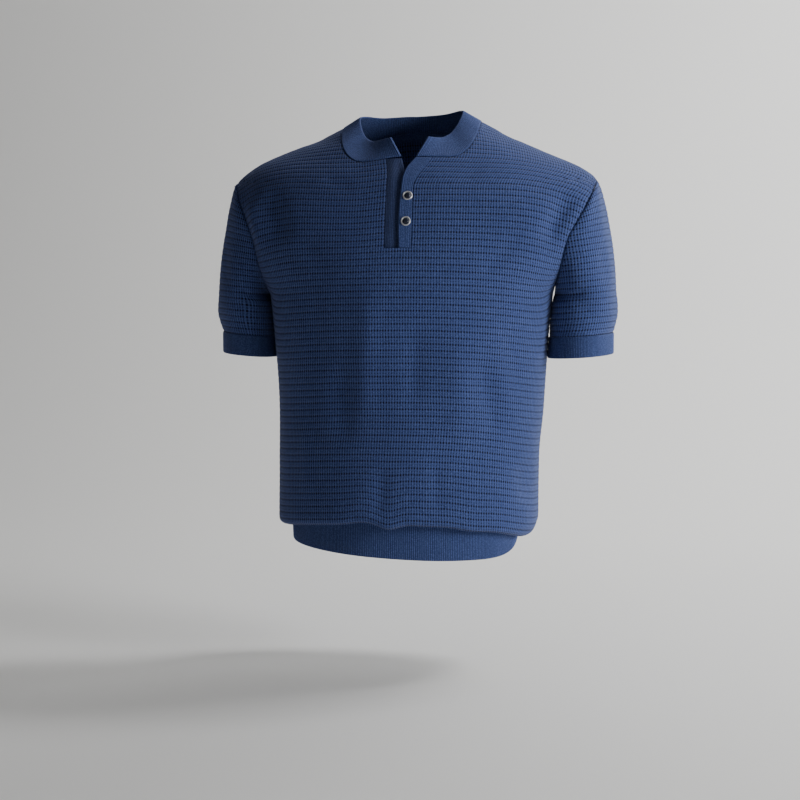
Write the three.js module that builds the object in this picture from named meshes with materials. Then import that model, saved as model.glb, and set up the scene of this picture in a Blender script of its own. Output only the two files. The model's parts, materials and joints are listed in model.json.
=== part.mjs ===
// A short-sleeved knit henley shirt, hollow, as it hangs on an upright figure with its arms down.
// Sizes are in millimetres. +X is the wearer's left, -Y the front and +Z up. The origin lies on the
// middle plane, level with the neck ends of the shoulder seams.
//
// The body is a front and a back panel. Each is a surface of level sections: a section runs from the
// middle to an edge point, which lies on the shoulder seam, the armhole or the side seam. The knit's
// courses are lines of equal cloth height on that surface, so they close up where it leans back over
// the shoulder. A course is a rib, raised in the wall's outer points over a plain inside.
import * as THREE from "three";

// Cloth
const RIB_PITCH = 8.25;
const RIB_HEIGHT = 1.0;
const PANEL_WALL = 2.0;
const BAND_WALL = 2.2;
const SEAM_GAP = 0.3;

// Body
const NECK_HALF = 91;
const NECK_TOP = -7;
const TIP_Z = -84;
const ARMPIT_Z = -233;
const ARMHOLE_HALF_DEPTH = 70;
const ARMHOLE_Y = 18;
const RIDGE_Y = 30;
const FOLD_Z = -514;
const FOLD_RADIUS = 8;
const FOLD_RIBS = 3;
const HEM_BOTTOM = -557;
const HEM_TILT = 2.5;
const HEM_FRONT_DIP = 11;
const HEM_SET_IN = 17.4;
const HEM_TAPER = 1;
const RIGHT_SHOULDER_DROP = 7;

// Neck and placket
const FRONT_NECK_Z = -57;
const BACK_NECK_Z = -22;
const NECK_BEND_X = 56;
const SLIT_BOTTOM_Z = -173;
const OVER_SEAM_X = 12;
const UNDER_SEAM_X = -22;
const COLLAR_HALF_WIDTH = 67;
const COLLAR_CENTRE_Y = 14;
const COLLAR_FRONT = 66;
const COLLAR_BACK = 52;

// Sleeve
const SLEEVE_RIBS = 25;
const TUBE_RIBS = 7;
const CUFF_SEAM_Z = -285;
const CUFF_HEIGHT = 28;
const CUFF_TILT = 0.07;
const CUFF_MIDDLE_X = 222;
const CUFF_TUCK = 1.6;
const SLEEVE_Y = 26;
const SLEEVE_HALF_DEPTH = 61;
const SLEEVE_INNER_X = 182;
const SLEEVE_INNER_BULGE = 37;
const ARM_LEAN = 6;

// Buttons, each a metal ring round a dark dome
const BUTTONS = [
  { name: "upper", x: 5.8, z: -107 },
  { name: "lower", x: 4.8, z: -139 },
];
const BUTTON_RADIUS = 6.2;
const RING_WIDTH = 1.9;
const RING_HEIGHT = 2.2;
const DOME_HEIGHT = 2.0;

// The front view's outline: shoulder seam down to the tip, then armhole, then side seam.
const OUTLINE = [
  { z: -7, x: 91 },
  { z: -17, x: 109 },
  { z: -27, x: 126 },
  { z: -35, x: 146 },
  { z: -43, x: 165 },
  { z: -53, x: 188 },
  { z: -61, x: 206 },
  { z: -69, x: 220 },
  { z: -77, x: 231 },
  { z: -84, x: 237 },
  { z: -92, x: 234 },
  { z: -112, x: 225 },
  { z: -137, x: 213 },
  { z: -160, x: 203 },
  { z: -200, x: 194 },
  { z: -233, x: 186 },
  { z: -270, x: 181 },
  { z: -310, x: 178 },
  { z: -377, x: 173 },
  { z: -441, x: 170 },
  { z: -505, x: 170 },
  { z: -560, x: 170 },
];

// How far the front and back reach on the middle plane, and how flat a section is: under 1 it is
// squarer than an ellipse, and over 1 it closes to a narrow edge. sway moves a level sideways.
const DEPTHS = [
  { z: -4, front: -38, back: 66, flat: 1.3, sway: 0 },
  { z: -22, front: -46, back: 76, flat: 1.26, sway: 0 },
  { z: -50, front: -62, back: 91, flat: 1.2, sway: 0 },
  { z: -84, front: -85, back: 105, flat: 1.1, sway: 0 },
  { z: -130, front: -106, back: 114, flat: 1.0, sway: 0 },
  { z: -170, front: -118, back: 118, flat: 0.92, sway: 0 },
  { z: -210, front: -124, back: 119, flat: 0.82, sway: 0 },
  { z: -250, front: -125, back: 116, flat: 0.76, sway: 0 },
  { z: -310, front: -123, back: 109, flat: 0.79, sway: 0 },
  { z: -380, front: -120, back: 105, flat: 0.8, sway: -1.5 },
  { z: -450, front: -119, back: 107, flat: 0.8, sway: -5 },
  { z: -510, front: -120, back: 110, flat: 0.8, sway: -5.5 },
  { z: -570, front: -120, back: 110, flat: 0.8, sway: -5.5 },
];

// How much lower a course lies at the side seam than at the middle, on each side.
const DROOPS = [
  { z: -560, left: 27, right: 14 },
  { z: -500, left: 26, right: 13 },
  { z: -380, left: 20, right: 11 },
  { z: -230, left: 15, right: 10 },
  { z: -84, left: 8, right: 6 },
  { z: -4, left: 0, right: 0 },
];

// The largest folds: a soft ridge or trough along a line, from its top end to its bottom end.
const FOLDS = [
  { face: "front", x0: 210, z0: -96, x1: 178, z1: -172, width: 13, depth: -6 },
  { face: "front", x0: 222, z0: -112, x1: 196, z1: -196, width: 10, depth: 3 },
  { face: "front", x0: -212, z0: -100, x1: -186, z1: -180, width: 12, depth: 4.5 },
  { face: "front", x0: -182, z0: -92, x1: -148, z1: -168, width: 15, depth: -5 },
  { face: "front", x0: 96, z0: -300, x1: 122, z1: -420, width: 14, depth: -4.5 },
  { face: "front", x0: 66, z0: -250, x1: 78, z1: -450, width: 20, depth: 3 },
  { face: "front", x0: 18, z0: -250, x1: 16, z1: -400, width: 14, depth: -2.5 },
  { face: "front", x0: -40, z0: -200, x1: -52, z1: -420, width: 18, depth: 3 },
  { face: "front", x0: -78, z0: -310, x1: -74, z1: -430, width: 14, depth: -3 },
  { face: "front", x0: 150, z0: -440, x1: 166, z1: -510, width: 12, depth: -4 },
  { face: "back", x0: 205, z0: -104, x1: 150, z1: -210, width: 15, depth: -6 },
  { face: "back", x0: -205, z0: -100, x1: -156, z1: -200, width: 15, depth: -6 },
  { face: "back", x0: 34, z0: -290, x1: 52, z1: -470, width: 20, depth: -4 },
  { face: "back", x0: -8, z0: -250, x1: -4, z1: -450, width: 20, depth: 3 },
  { face: "back", x0: -46, z0: -300, x1: -66, z1: -480, width: 18, depth: -5 },
  { face: "back", x0: 100, z0: -330, x1: 118, z1: -490, width: 16, depth: -3.5 },
];

// Where the front's hem fold hangs lower or higher than its run, by the place along it.
const HEM_WAVES = [
  { x: -14, width: 16, drop: 6 },
  { x: -48, width: 20, drop: -3 },
  { x: 92, width: 24, drop: 3 },
  { x: 40, width: 22, drop: 1 },
];

// The sleeve's outermost line, from the shoulder tip to the cuff seam.
const SLEEVE_OUTLINE = [
  { z: -84, x: 237 },
  { z: -92, x: 240.5 },
  { z: -108, x: 245 },
  { z: -124, x: 249 },
  { z: -140, x: 252 },
  { z: -172, x: 257.5 },
  { z: -203, x: 261 },
  { z: -235, x: 263 },
  { z: -255, x: 264 },
  { z: -272, x: 262 },
  { z: -282, x: 259 },
];

// The neckband's top edge by its turn round the neck in degrees, from the front.
const COLLAR_TOP = [
  { turn: 0, z: -29 },
  { turn: 20, z: -30 },
  { turn: 38, z: -31 },
  { turn: 52, z: -26 },
  { turn: 66, z: -14 },
  { turn: 78, z: -3 },
  { turn: 92, z: 6 },
  { turn: 115, z: 8 },
  { turn: 145, z: 5 },
  { turn: 180, z: 3 },
];

// The free edges of the two placket strips. The over strip is the wearer's left one.
const PLACKET_EDGES = [
  { z: -57, over: 13, under: -5 },
  { z: -72, over: 1.5, under: 0 },
  { z: -86, over: -2.6, under: 5 },
  { z: -137, over: -5, under: 7 },
  { z: -175, over: -3.5, under: 7 },
];

// A smooth curve through one column of a table, without overshoot.
function curve(table, key, column) {
  const rows = [...table].sort((a, b) => a[key] - b[key]);
  const at = rows.map((row) => row[key]);
  const value = rows.map((row) => row[column]);
  const slope = rows.slice(1).map((_, i) => (value[i + 1] - value[i]) / (at[i + 1] - at[i]));
  const tangent = rows.map((_, i) => {
    if (i === 0) return slope[0];
    if (i === slope.length) return slope[i - 1];
    const product = slope[i - 1] * slope[i];
    return product <= 0 ? 0 : (2 * product) / (slope[i - 1] + slope[i]);
  });
  return (where) => {
    const t = Math.min(Math.max(where, at[0]), at[at.length - 1]);
    let i = 0;
    while (i < slope.length - 1 && t > at[i + 1]) i++;
    const span = at[i + 1] - at[i];
    const s = (t - at[i]) / span;
    const rise = s * s * (3 - 2 * s);
    const lead = s * (1 - s) * (1 - s) * span;
    const trail = s * s * (s - 1) * span;
    return value[i] * (1 - rise) + value[i + 1] * rise + lead * tangent[i] + trail * tangent[i + 1];
  };
}

const outlineX = curve(OUTLINE, "z", "x");
const ridgeZ = curve(OUTLINE.filter((row) => row.z >= TIP_Z), "x", "z");
const frontReach = curve(DEPTHS, "z", "front");
const backReach = curve(DEPTHS, "z", "back");
const flatness = curve(DEPTHS, "z", "flat");
const sway = curve(DEPTHS, "z", "sway");
const leftDroop = curve(DROOPS, "z", "left");
const rightDroop = curve(DROOPS, "z", "right");
const sleeveX = curve(SLEEVE_OUTLINE, "z", "x");
const collarTopZ = curve(COLLAR_TOP, "turn", "z");
const overEdgeX = curve(PLACKET_EDGES, "z", "over");
const underEdgeX = curve(PLACKET_EDGES, "z", "under");

const mix = (a, b, t) => a + (b - a) * t;
const clamp01 = (t) => Math.min(1, Math.max(0, t));
const ease = (t) => clamp01(t) * clamp01(t) * (3 - 2 * clamp01(t));
const vector = (x, y, z) => new THREE.Vector3(x, y, z);

const ARMHOLE_MIDDLE_Z = (TIP_Z + ARMPIT_Z) / 2;
const ARMHOLE_HALF_HEIGHT = (TIP_Z - ARMPIT_Z) / 2;

// How open the armhole is at a height, from 0 at its two ends to 1 at its middle.
function armholeOpen(z) {
  const level = (z - ARMHOLE_MIDDLE_Z) / ARMHOLE_HALF_HEIGHT;
  return Math.sqrt(Math.max(0, 1 - level * level));
}

// A section's measures at a height: its half width, depth and middle, and the angle of its edge. The
// edge lies on the ridge of the shoulder, round the armhole, then down the side.
function section(face, z) {
  const centre = z < TIP_Z ? ARMHOLE_Y : mix(ARMHOLE_Y, RIDGE_Y, (z - TIP_Z) / (NECK_TOP - TIP_Z));
  const depth = face === "front" ? centre - frontReach(z) : centre - backReach(z);
  const flat = flatness(z);
  const reach = z < TIP_Z ? ARMHOLE_HALF_DEPTH * armholeOpen(z) : 0;
  const cosine = (by) => ((reach + by) / Math.abs(depth)) ** (1 / flat);
  const turn = Math.acos(cosine(0));
  return {
    halfWidth: outlineX(z) / Math.sin(turn),
    depth,
    centre,
    flat,
    edge: Math.acos(cosine(SEAM_GAP / 2)),
  };
}

function sectionPoint(face, angle, z) {
  const s = section(face, z);
  const y = s.centre - s.depth * Math.max(0, Math.cos(angle)) ** s.flat;
  return vector(s.halfWidth * Math.sin(angle), y, z);
}

function angleAt(face, x, z) {
  return Math.asin(Math.min(1, Math.max(-1, x / section(face, z).halfWidth)));
}

// Cloth length straight down from the top of the panel to a height, at one distance from the middle.
function lengthBelowRidge(face, x, z, steps = 32) {
  const top = x > NECK_HALF ? ridgeZ(x) : NECK_TOP;
  let length = 0;
  let last = null;
  for (let i = 0; i <= steps; i++) {
    const level = top - (top - z) * (i / steps) ** 2;
    const s = section(face, level);
    const across = Math.min(1, x / s.halfWidth);
    const y = s.centre - s.depth * Math.sqrt(1 - across * across) ** s.flat;
    if (last) length += Math.hypot(y - last.y, level - last.level);
    last = { y, level };
  }
  return length;
}

// The cloth height of the shoulder seam over the armpit, at a distance from the middle.
const PLUMB_X = 150;
const PLUMB_STEP = 20;
function ridgeHeight(face, x) {
  if (x <= PLUMB_X) return lengthBelowRidge(face, x, ARMPIT_Z);
  const near = lengthBelowRidge(face, PLUMB_X, ARMPIT_Z);
  const nearer = lengthBelowRidge(face, PLUMB_X - PLUMB_STEP, ARMPIT_Z);
  return near - ((nearer - near) / PLUMB_STEP) * (x - PLUMB_X);
}

// The cloth height of a point on a panel: 0 at the armpit's level, and equal along a course.
const SETTLE = 140;
function clothHeight(face, point) {
  const x = Math.abs(point.x);
  const z = point.z;
  const side = point.x > 0 ? leftDroop(z) : rightDroop(z);
  const droop = side * Math.min(1, x / outlineX(z)) ** 2.5;
  if (z >= ARMPIT_Z) return ridgeHeight(face, x) - lengthBelowRidge(face, x, z) + droop;
  const excess = x > PLUMB_X ? ridgeHeight(face, x) - lengthBelowRidge(face, x, ARMPIT_Z) : 0;
  return z - ARMPIT_Z + excess * ease(1 - (ARMPIT_Z - z) / SETTLE) + droop + hemWave(face, point);
}

function hemWave(face, point) {
  if (face !== "front") return 0;
  const near = ease(1 - (point.z - FOLD_Z) / 90);
  return near * HEM_WAVES.reduce((sum, w) => sum + w.drop * Math.exp(-(((point.x - w.x) / w.width) ** 2)), 0);
}

// How far the folds move a point out along the cloth's normal.
function foldDepth(face, point) {
  let sum = 0;
  for (const f of FOLDS) {
    if (f.face !== face) continue;
    const length = Math.hypot(f.x1 - f.x0, f.z1 - f.z0);
    const along = ((point.x - f.x0) * (f.x1 - f.x0) + (point.z - f.z0) * (f.z1 - f.z0)) / length;
    const off = ((point.x - f.x0) * (f.z1 - f.z0) - (point.z - f.z0) * (f.x1 - f.x0)) / length;
    const ends = ease(along / (0.35 * length)) * ease((length - along) / (0.35 * length));
    sum += f.depth * ends * Math.exp(-((off / f.width) ** 2));
  }
  return sum;
}

// The outward normal of a panel. On a seam it is square to the seam, so that both panels share it.
function panelNormal(face, angle, z) {
  const out = face === "front" ? -1 : 1;
  const turn = section(face, z).edge;
  const up = sectionPoint(face, angle, z + 0.5).sub(sectionPoint(face, angle, z - 0.5));
  const onSeam = Math.abs(angle) > turn - 1e-6 && (z >= TIP_Z || z <= ARMPIT_Z);
  const a0 = Math.max(-turn, angle - 0.04);
  const a1 = Math.min(turn, angle + 0.04);
  const across = sectionPoint(face, a1, z).sub(sectionPoint(face, a0, z));
  if (onSeam) across.set(0, -out * Math.sign(angle), 0);
  return across.cross(up).multiplyScalar(-out).normalize();
}

// A panel's column is a path up the panel. Its points are found by cloth height.
function panelColumn(face, angleOf, lowest, highest) {
  const path = [];
  for (let z = lowest; z < highest; z += 1) path.push(z);
  path.push(highest);
  const heights = path.map((z) => clothHeight(face, sectionPoint(face, angleOf(z), z)));
  return (height) => {
    let i = 1;
    while (i < path.length - 1 && heights[i] < height) i++;
    const z = mix(path[i - 1], path[i], clamp01((height - heights[i - 1]) / (heights[i] - heights[i - 1])));
    const angle = angleOf(z);
    const point = sectionPoint(face, angle, z);
    const normal = panelNormal(face, angle, z);
    const calm = ease((section(face, z).edge - Math.abs(angle)) / 0.12);
    return { point: point.addScaledVector(normal, foldDepth(face, point) * calm), normal };
  };
}

// The stance of the whole shirt: the wearer's right shoulder is lower, and the arms lean to the left.
function posed(point) {
  const low = ease(-point.x / 70) * (1 - 0.6 * ease((-point.x - 80) / 90)) * ease((point.z + 250) / 170);
  const outer = ease((Math.abs(point.x) - 182) / 45) * mix(0.6, 1, ease((TIP_Z + 30 - point.z) / 50));
  point.x += sway(point.z) * (1 - outer) + ARM_LEAN * outer;
  point.z -= RIGHT_SHOULDER_DROP * low;
  return point;
}

// The edge of the placket's slot in the front panel: it opens towards the neck.
const overSeamX = (z) => mix(OVER_SEAM_X, 35, ease((z + 96) / 46));
const underSeamX = (z) => mix(UNDER_SEAM_X, -25, ease((z + 80) / 30));

// The neckline: along a course at the middle, then a quarter oval up to the neck end of the shoulder
// seam. neckX is half its width at a height.
function neckX(face, z) {
  const cornerZ = neckCornerZ(face);
  if (z <= cornerZ) return NECK_BEND_X;
  const rise = Math.min(1, (NECK_TOP - z) / (NECK_TOP - cornerZ));
  return NECK_BEND_X + (NECK_HALF - NECK_BEND_X) * Math.sqrt(1 - rise * rise);
}

// Closes a wall from an outer sheet and a coarser inner sheet. Both are quads over the same keys.
function closedWall(sheet) {
  const { rows, columns, covers, key, outer, inner, coarse } = sheet;
  const index = new Map();
  const positions = [];
  const faces = [];
  const vertexOf = (name, point) => {
    if (!index.has(name)) {
      index.set(name, positions.length / 3);
      positions.push(point.x, point.y, point.z);
    }
    return index.get(name);
  };
  const addQuad = (names) => {
    const made = [];
    for (const [a, b, c] of [[0, 1, 2], [0, 2, 3]]) {
      const t = [names[a], names[b], names[c]];
      if (new Set(t).size === 3) made.push(t);
    }
    return made;
  };
  const outerTriangles = [];
  const innerTriangles = [];
  for (let j = 0; j < columns; j++) {
    for (let i = 0; i < rows; i++)
      if (covers(i, j))
        outerTriangles.push(...addQuad([key(i, j), key(i, j + 1), key(i + 1, j + 1), key(i + 1, j)]));
    for (let c = 0; c + 1 < coarse.length; c++) {
      const [i, k] = [coarse[c], coarse[c + 1]];
      if (covers(i, j))
        innerTriangles.push(...addQuad([key(k, j), key(k, j + 1), key(i, j + 1), key(i, j)]));
    }
  }
  const openEdges = (triangles) => {
    const seen = new Set();
    for (const [a, b, c] of triangles) for (const e of [[a, b], [b, c], [c, a]]) seen.add(e.join("|"));
    return [...seen].map((e) => e.split("|")).filter(([a, b]) => !seen.has(b + "|" + a));
  };
  const next = new Map(openEdges(outerTriangles));
  const place = (name, which) => {
    const surface = which === "o" ? outer : inner;
    return vertexOf(which + name, posed(surface(...name.split(",").map(Number))));
  };
  for (const t of outerTriangles) faces.push(t.map((name) => place(name, "o")));
  for (const t of innerTriangles) faces.push(t.map((name) => place(name, "i")));
  for (const [b, a] of openEdges(innerTriangles)) {
    const corner = place(a, "i");
    let from = a;
    while (from !== b) {
      const to = next.get(from);
      faces.push([place(to, "o"), place(from, "o"), corner]);
      from = to;
    }
    faces.push([place(b, "o"), corner, place(b, "i")]);
  }
  const geometry = new THREE.BufferGeometry();
  geometry.setAttribute("position", new THREE.Float32BufferAttribute(positions, 3));
  geometry.setIndex(faces.flat());
  geometry.computeVertexNormals();
  return geometry;
}

// Rows that the inner sheet also keeps round the corner of the neck, where the edge turns quickly.
const NECK_KEPT = [-8, -4, 0, 1, 2, 4, 7, 10, 14];

// Every row that the inner sheet keeps: one in each step, and those where the outline changes.
function coarseRows(rows, step, kept) {
  const list = [];
  for (let i = 0; i <= rows; i++) if (i % step === 0 || i === rows || kept.includes(i)) list.push(i);
  return list;
}

// A body panel: blocks of columns from the right edge to the left edge, split at the neck and slot.
const SIDE_COLUMNS = 5;
const NECK_COLUMNS = 2;
const SLOT_COLUMNS = 1;
const HALF_PITCH = RIB_PITCH / 2;
const FOLD_ROWS = 2 * FOLD_RIBS;

const neckZOf = (face) => (face === "front" ? FRONT_NECK_Z : BACK_NECK_Z);
const foldHeight = FOLD_Z - ARMPIT_Z;
const rowHeight = (i) => foldHeight + (i - FOLD_ROWS) * HALF_PITCH;
const rowNear = (face, z) => {
  const height = clothHeight(face, sectionPoint(face, 0, z));
  return FOLD_ROWS + Math.round((height - foldHeight) / HALF_PITCH);
};
const neckEdgeAngle = (face, z) =>
  Math.min(angleAt(face, neckX(face, z), z), section(face, z).edge);

// A point of the cloth straight above a place across the panel, at one cloth height.
function coursePoint(face, x, height) {
  return panelColumn(face, (z) => angleAt(face, x, z), FOLD_Z - 60, -12)(height);
}

const corners = new Map();
function neckCornerZ(face) {
  if (!corners.has(face))
    corners.set(face, coursePoint(face, NECK_BEND_X, rowHeight(rowNear(face, neckZOf(face)))).point.z);
  return corners.get(face);
}

function panel(face) {
  const front = face === "front";
  const bounds = [
    (z) => -section(face, z).edge,
    (z) => -neckEdgeAngle(face, z),
    (z) => angleAt(face, front ? underSeamX(z) - SEAM_GAP : UNDER_SEAM_X, z),
    (z) => angleAt(face, front ? overSeamX(z) + 2 * SEAM_GAP : OVER_SEAM_X, z),
    (z) => neckEdgeAngle(face, z),
    (z) => section(face, z).edge,
  ];
  const counts = [SIDE_COLUMNS, NECK_COLUMNS, SLOT_COLUMNS, NECK_COLUMNS, SIDE_COLUMNS];
  const columns = counts.reduce((sum, n) => sum + n, 0);
  const paths = [];
  counts.forEach((n, block) => {
    for (let c = block ? 1 : 0; c <= n; c++)
      paths.push((z) => mix(bounds[block](z), bounds[block + 1](z), c / n));
  });
  const at = paths.map((angleOf) => panelColumn(face, angleOf, FOLD_Z - 60, NECK_TOP));
  const middle = SIDE_COLUMNS + NECK_COLUMNS;
  const slotRow = front ? rowNear(face, SLIT_BOTTOM_Z) : Infinity;
  const neckRow = rowNear(face, neckZOf(face));
  const topHeight = ridgeHeight(face, NECK_HALF);
  const rows = Math.floor((topHeight - foldHeight) / HALF_PITCH) + FOLD_ROWS + 1;
  const pose = (i, j) => {
    if (i >= FOLD_ROWS) return at[j](i === rows ? topHeight : rowHeight(i));
    const start = at[j](foldHeight);
    const turn = ((FOLD_ROWS - i) * HALF_PITCH) / FOLD_RADIUS;
    const level = vector(start.normal.x, start.normal.y, 0).normalize();
    const point = start.point.clone().addScaledVector(level, -FOLD_RADIUS * (1 - Math.cos(turn)));
    point.z -= FOLD_RADIUS * Math.sin(turn);
    return { point, normal: level.multiplyScalar(Math.cos(turn)).add(vector(0, 0, -Math.sin(turn))) };
  };
  const covers = (i, j) => {
    const inSlot = j >= middle && j < middle + SLOT_COLUMNS;
    const inNeck = j >= SIDE_COLUMNS && j < columns - SIDE_COLUMNS;
    return !(i >= slotRow && inSlot) && !(i >= neckRow && inNeck);
  };
  const topKey = (j) => (j <= SIDE_COLUMNS ? 0 : columns);
  const memo = new Map();
  const held = (i, j) => {
    const name = `${i},${j}`;
    if (!memo.has(name)) memo.set(name, pose(i, j));
    return memo.get(name);
  };
  const offset = (i, j, by) => held(i, j).point.clone().addScaledVector(held(i, j).normal, by);
  const turned = front ? (j) => j : (j) => columns - j;
  return closedWall({
    rows,
    columns,
    covers: (i, j) => covers(i, front ? j : columns - 1 - j),
    key: (i, j) => `${i},${i < rows ? turned(j) : topKey(turned(j))}`,
    outer: (i, j) => offset(i, j, i % 2 ? RIB_HEIGHT / 2 : -RIB_HEIGHT / 2),
    inner: (i, j) => offset(i, j, -RIB_HEIGHT / 2 - PANEL_WALL),
    coarse: coarseRows(rows, 6, [FOLD_ROWS, slotRow, 3, ...NECK_KEPT.map((step) => neckRow + step)]),
  });
}

// The armhole's loop: 0 at the shoulder tip, a half turn at the armpit. side is 1 or -1, and the
// front lies at angles under a half turn.
function armhole(side, angle) {
  const z = ARMHOLE_MIDDLE_Z + ARMHOLE_HALF_HEIGHT * Math.cos(angle);
  return vector(side * outlineX(z), ARMHOLE_Y - ARMHOLE_HALF_DEPTH * Math.sin(angle), z);
}

// How far the sleeve's edge stands off the body's: at the armpit the two walls lie side by side.
const standOff = (angle) => 0.8 + 2.4 * ((1 - Math.cos(angle)) / 2) ** 2;

// Heights on the sleeve's outermost line, at equal steps of cloth from the cuff seam to the tip.
const SLEEVE_LINE = (() => {
  const path = [];
  for (let z = SLEEVE_OUTLINE[SLEEVE_OUTLINE.length - 1].z; z <= TIP_Z; z += 1)
    path.push(new THREE.Vector2(sleeveX(z), z));
  return path.map((point, i) => (i ? point.distanceTo(path[i - 1]) : 0)).reduce(
    (line, step, i) => [...line, { z: path[i].y, length: (line[i - 1]?.length ?? 0) + step }],
    [],
  );
})();
const sleeveHeight = curve(SLEEVE_LINE, "length", "z");
const SLEEVE_LENGTH = SLEEVE_LINE[SLEEVE_LINE.length - 1].length;
const TUBE_SHARE = TUBE_RIBS / SLEEVE_RIBS;
const SPLIT_RISE = sleeveHeight(TUBE_SHARE * SLEEVE_LENGTH) - ARMPIT_Z;

// One row of the left sleeve: an oval that is whole below the armpit. Above, it ends on the armhole.
function sleeveRow(share) {
  const outZ = sleeveHeight(share * SLEEVE_LENGTH);
  if (share < TUBE_SHARE) {
    const rise = share / TUBE_SHARE;
    const innerX = mix(SLEEVE_INNER_X, outlineX(ARMPIT_Z) + standOff(Math.PI), rise);
    const cuffZ = CUFF_SEAM_Z + (SLEEVE_INNER_X - CUFF_MIDDLE_X) * CUFF_TILT;
    return {
      outX: sleeveX(outZ),
      outZ,
      endX: innerX,
      endZ: mix(cuffZ, ARMPIT_Z, rise),
      open: Math.PI / 2,
      bulge: SLEEVE_INNER_BULGE,
      halfDepth: mix(SLEEVE_HALF_DEPTH, 63, ease(rise)),
      y: mix(SLEEVE_Y, ARMHOLE_Y, ease(rise)),
    };
  }
  const up = (share - TUBE_SHARE) / (1 - TUBE_SHARE);
  const endZ = outZ - (SPLIT_RISE + 7 * up) * (1 - up ** 24);
  const angle = Math.acos(Math.min(1, Math.max(-1, (endZ - ARMHOLE_MIDDLE_Z) / ARMHOLE_HALF_HEIGHT)));
  const reach = ARMHOLE_HALF_DEPTH * Math.sin(angle);
  const below = ease((angle - Math.PI / 2) / (Math.PI / 2));
  const halfDepth = Math.max(reach, mix(ARMHOLE_HALF_DEPTH, 63, below));
  const open = angle > Math.PI / 2 ? Math.acos(reach / halfDepth) : 0;
  return {
    outX: sleeveX(outZ),
    outZ,
    endX: outlineX(endZ) + standOff(angle),
    endZ,
    open,
    bulge: SLEEVE_INNER_BULGE,
    halfDepth: open ? halfDepth : reach,
    y: ARMHOLE_Y,
  };
}

// A point of the left sleeve. turn goes from 0 at a row's front end over the outside to 1 at its back.
function sleevePoint(share, turn) {
  const row = sleeveRow(share);
  const round = mix(-row.open, Math.PI + row.open, turn);
  const centre = row.endX + row.bulge * Math.sin(row.open);
  const across = Math.sin(round);
  const x = centre + across * (across > 0 ? row.outX - centre : row.bulge);
  const climb = (x - row.endX) / Math.max(0.1, row.outX - row.endX);
  return vector(x, row.y - row.halfDepth * Math.cos(round), mix(row.endZ, row.outZ, climb));
}

function sleeveNormal(share, turn) {
  if (share > 0.999) return vector(0.6, 0, 0.8);
  const step = share < TUBE_SHARE + 0.02 ? 0.02 : 0.03;
  const [t0, t1] = [Math.max(0, turn - step), Math.min(1, turn + step)];
  const [s0, s1] = [Math.max(0, share - 0.012), Math.min(1, share + 0.012)];
  const round = sleevePoint(share, t1).sub(sleevePoint(share, t0));
  const up = sleevePoint(s1, turn).sub(sleevePoint(s0, turn));
  if (share <= TUBE_SHARE && (turn < 0.001 || turn > 0.999)) round.set(0, -1, 0);
  return round.cross(up).normalize();
}

const SLEEVE_COLUMNS = 16;
function sleeve(side) {
  const rows = 2 * SLEEVE_RIBS;
  const tubeRow = 2 * TUBE_RIBS;
  const flip = side > 0 ? (j) => j : (j) => SLEEVE_COLUMNS - j;
  const column = (i, j) => {
    if (i === rows) return 0;
    return i <= tubeRow ? flip(j) % SLEEVE_COLUMNS : flip(j);
  };
  const offset = (i, j, by) => {
    const [share, turn] = [i / rows, j / SLEEVE_COLUMNS];
    const point = sleevePoint(share, turn).addScaledVector(sleeveNormal(share, turn), by);
    point.x *= side;
    return point;
  };
  return closedWall({
    rows,
    columns: SLEEVE_COLUMNS,
    covers: () => true,
    key: (i, j) => `${i},${column(i, j)}`,
    outer: (i, j) => offset(i, j, i % 2 ? RIB_HEIGHT / 2 : -RIB_HEIGHT / 2),
    inner: (i, j) => offset(i, j, -RIB_HEIGHT / 2 - PANEL_WALL),
    coarse: coarseRows(rows, 6, [tubeRow]),
  });
}

// A plain band: a wall over a surface of two coordinates, each from 0 to 1. across runs to the right
// as seen from outside, and up runs up. firstNormal, if there is one, squares its lower end.
function band({ at, rows, columns, wall = BAND_WALL, ring = false, mirrored = false, firstNormal = null }) {
  const step = 0.01;
  const normalAt = (across, up) => {
    const right = at(ring ? across + step : Math.min(1, across + step), up);
    right.sub(at(ring ? across - step : Math.max(0, across - step), up));
    const rise = at(across, Math.min(1, up + step)).sub(at(across, Math.max(0, up - step)));
    const normal = right.cross(rise).normalize();
    if (firstNormal) normal.lerp(firstNormal(across), Math.max(0, 1 - 3 * up)).normalize();
    return normal;
  };
  const offset = (i, j, by) => {
    const [across, up] = [j / columns, i / rows];
    const point = at(across, up).addScaledVector(normalAt(across, up), by);
    if (mirrored) point.x *= -1;
    return point;
  };
  const turned = (j) => (ring ? (mirrored ? columns - j : j) % columns : j);
  return closedWall({
    rows,
    columns,
    covers: () => true,
    key: (i, j) => `${i},${turned(j)}`,
    outer: (i, j) => offset(i, j, wall / 2),
    inner: (i, j) => offset(i, j, -wall / 2),
    coarse: [...Array(rows + 1).keys()],
  });
}

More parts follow.
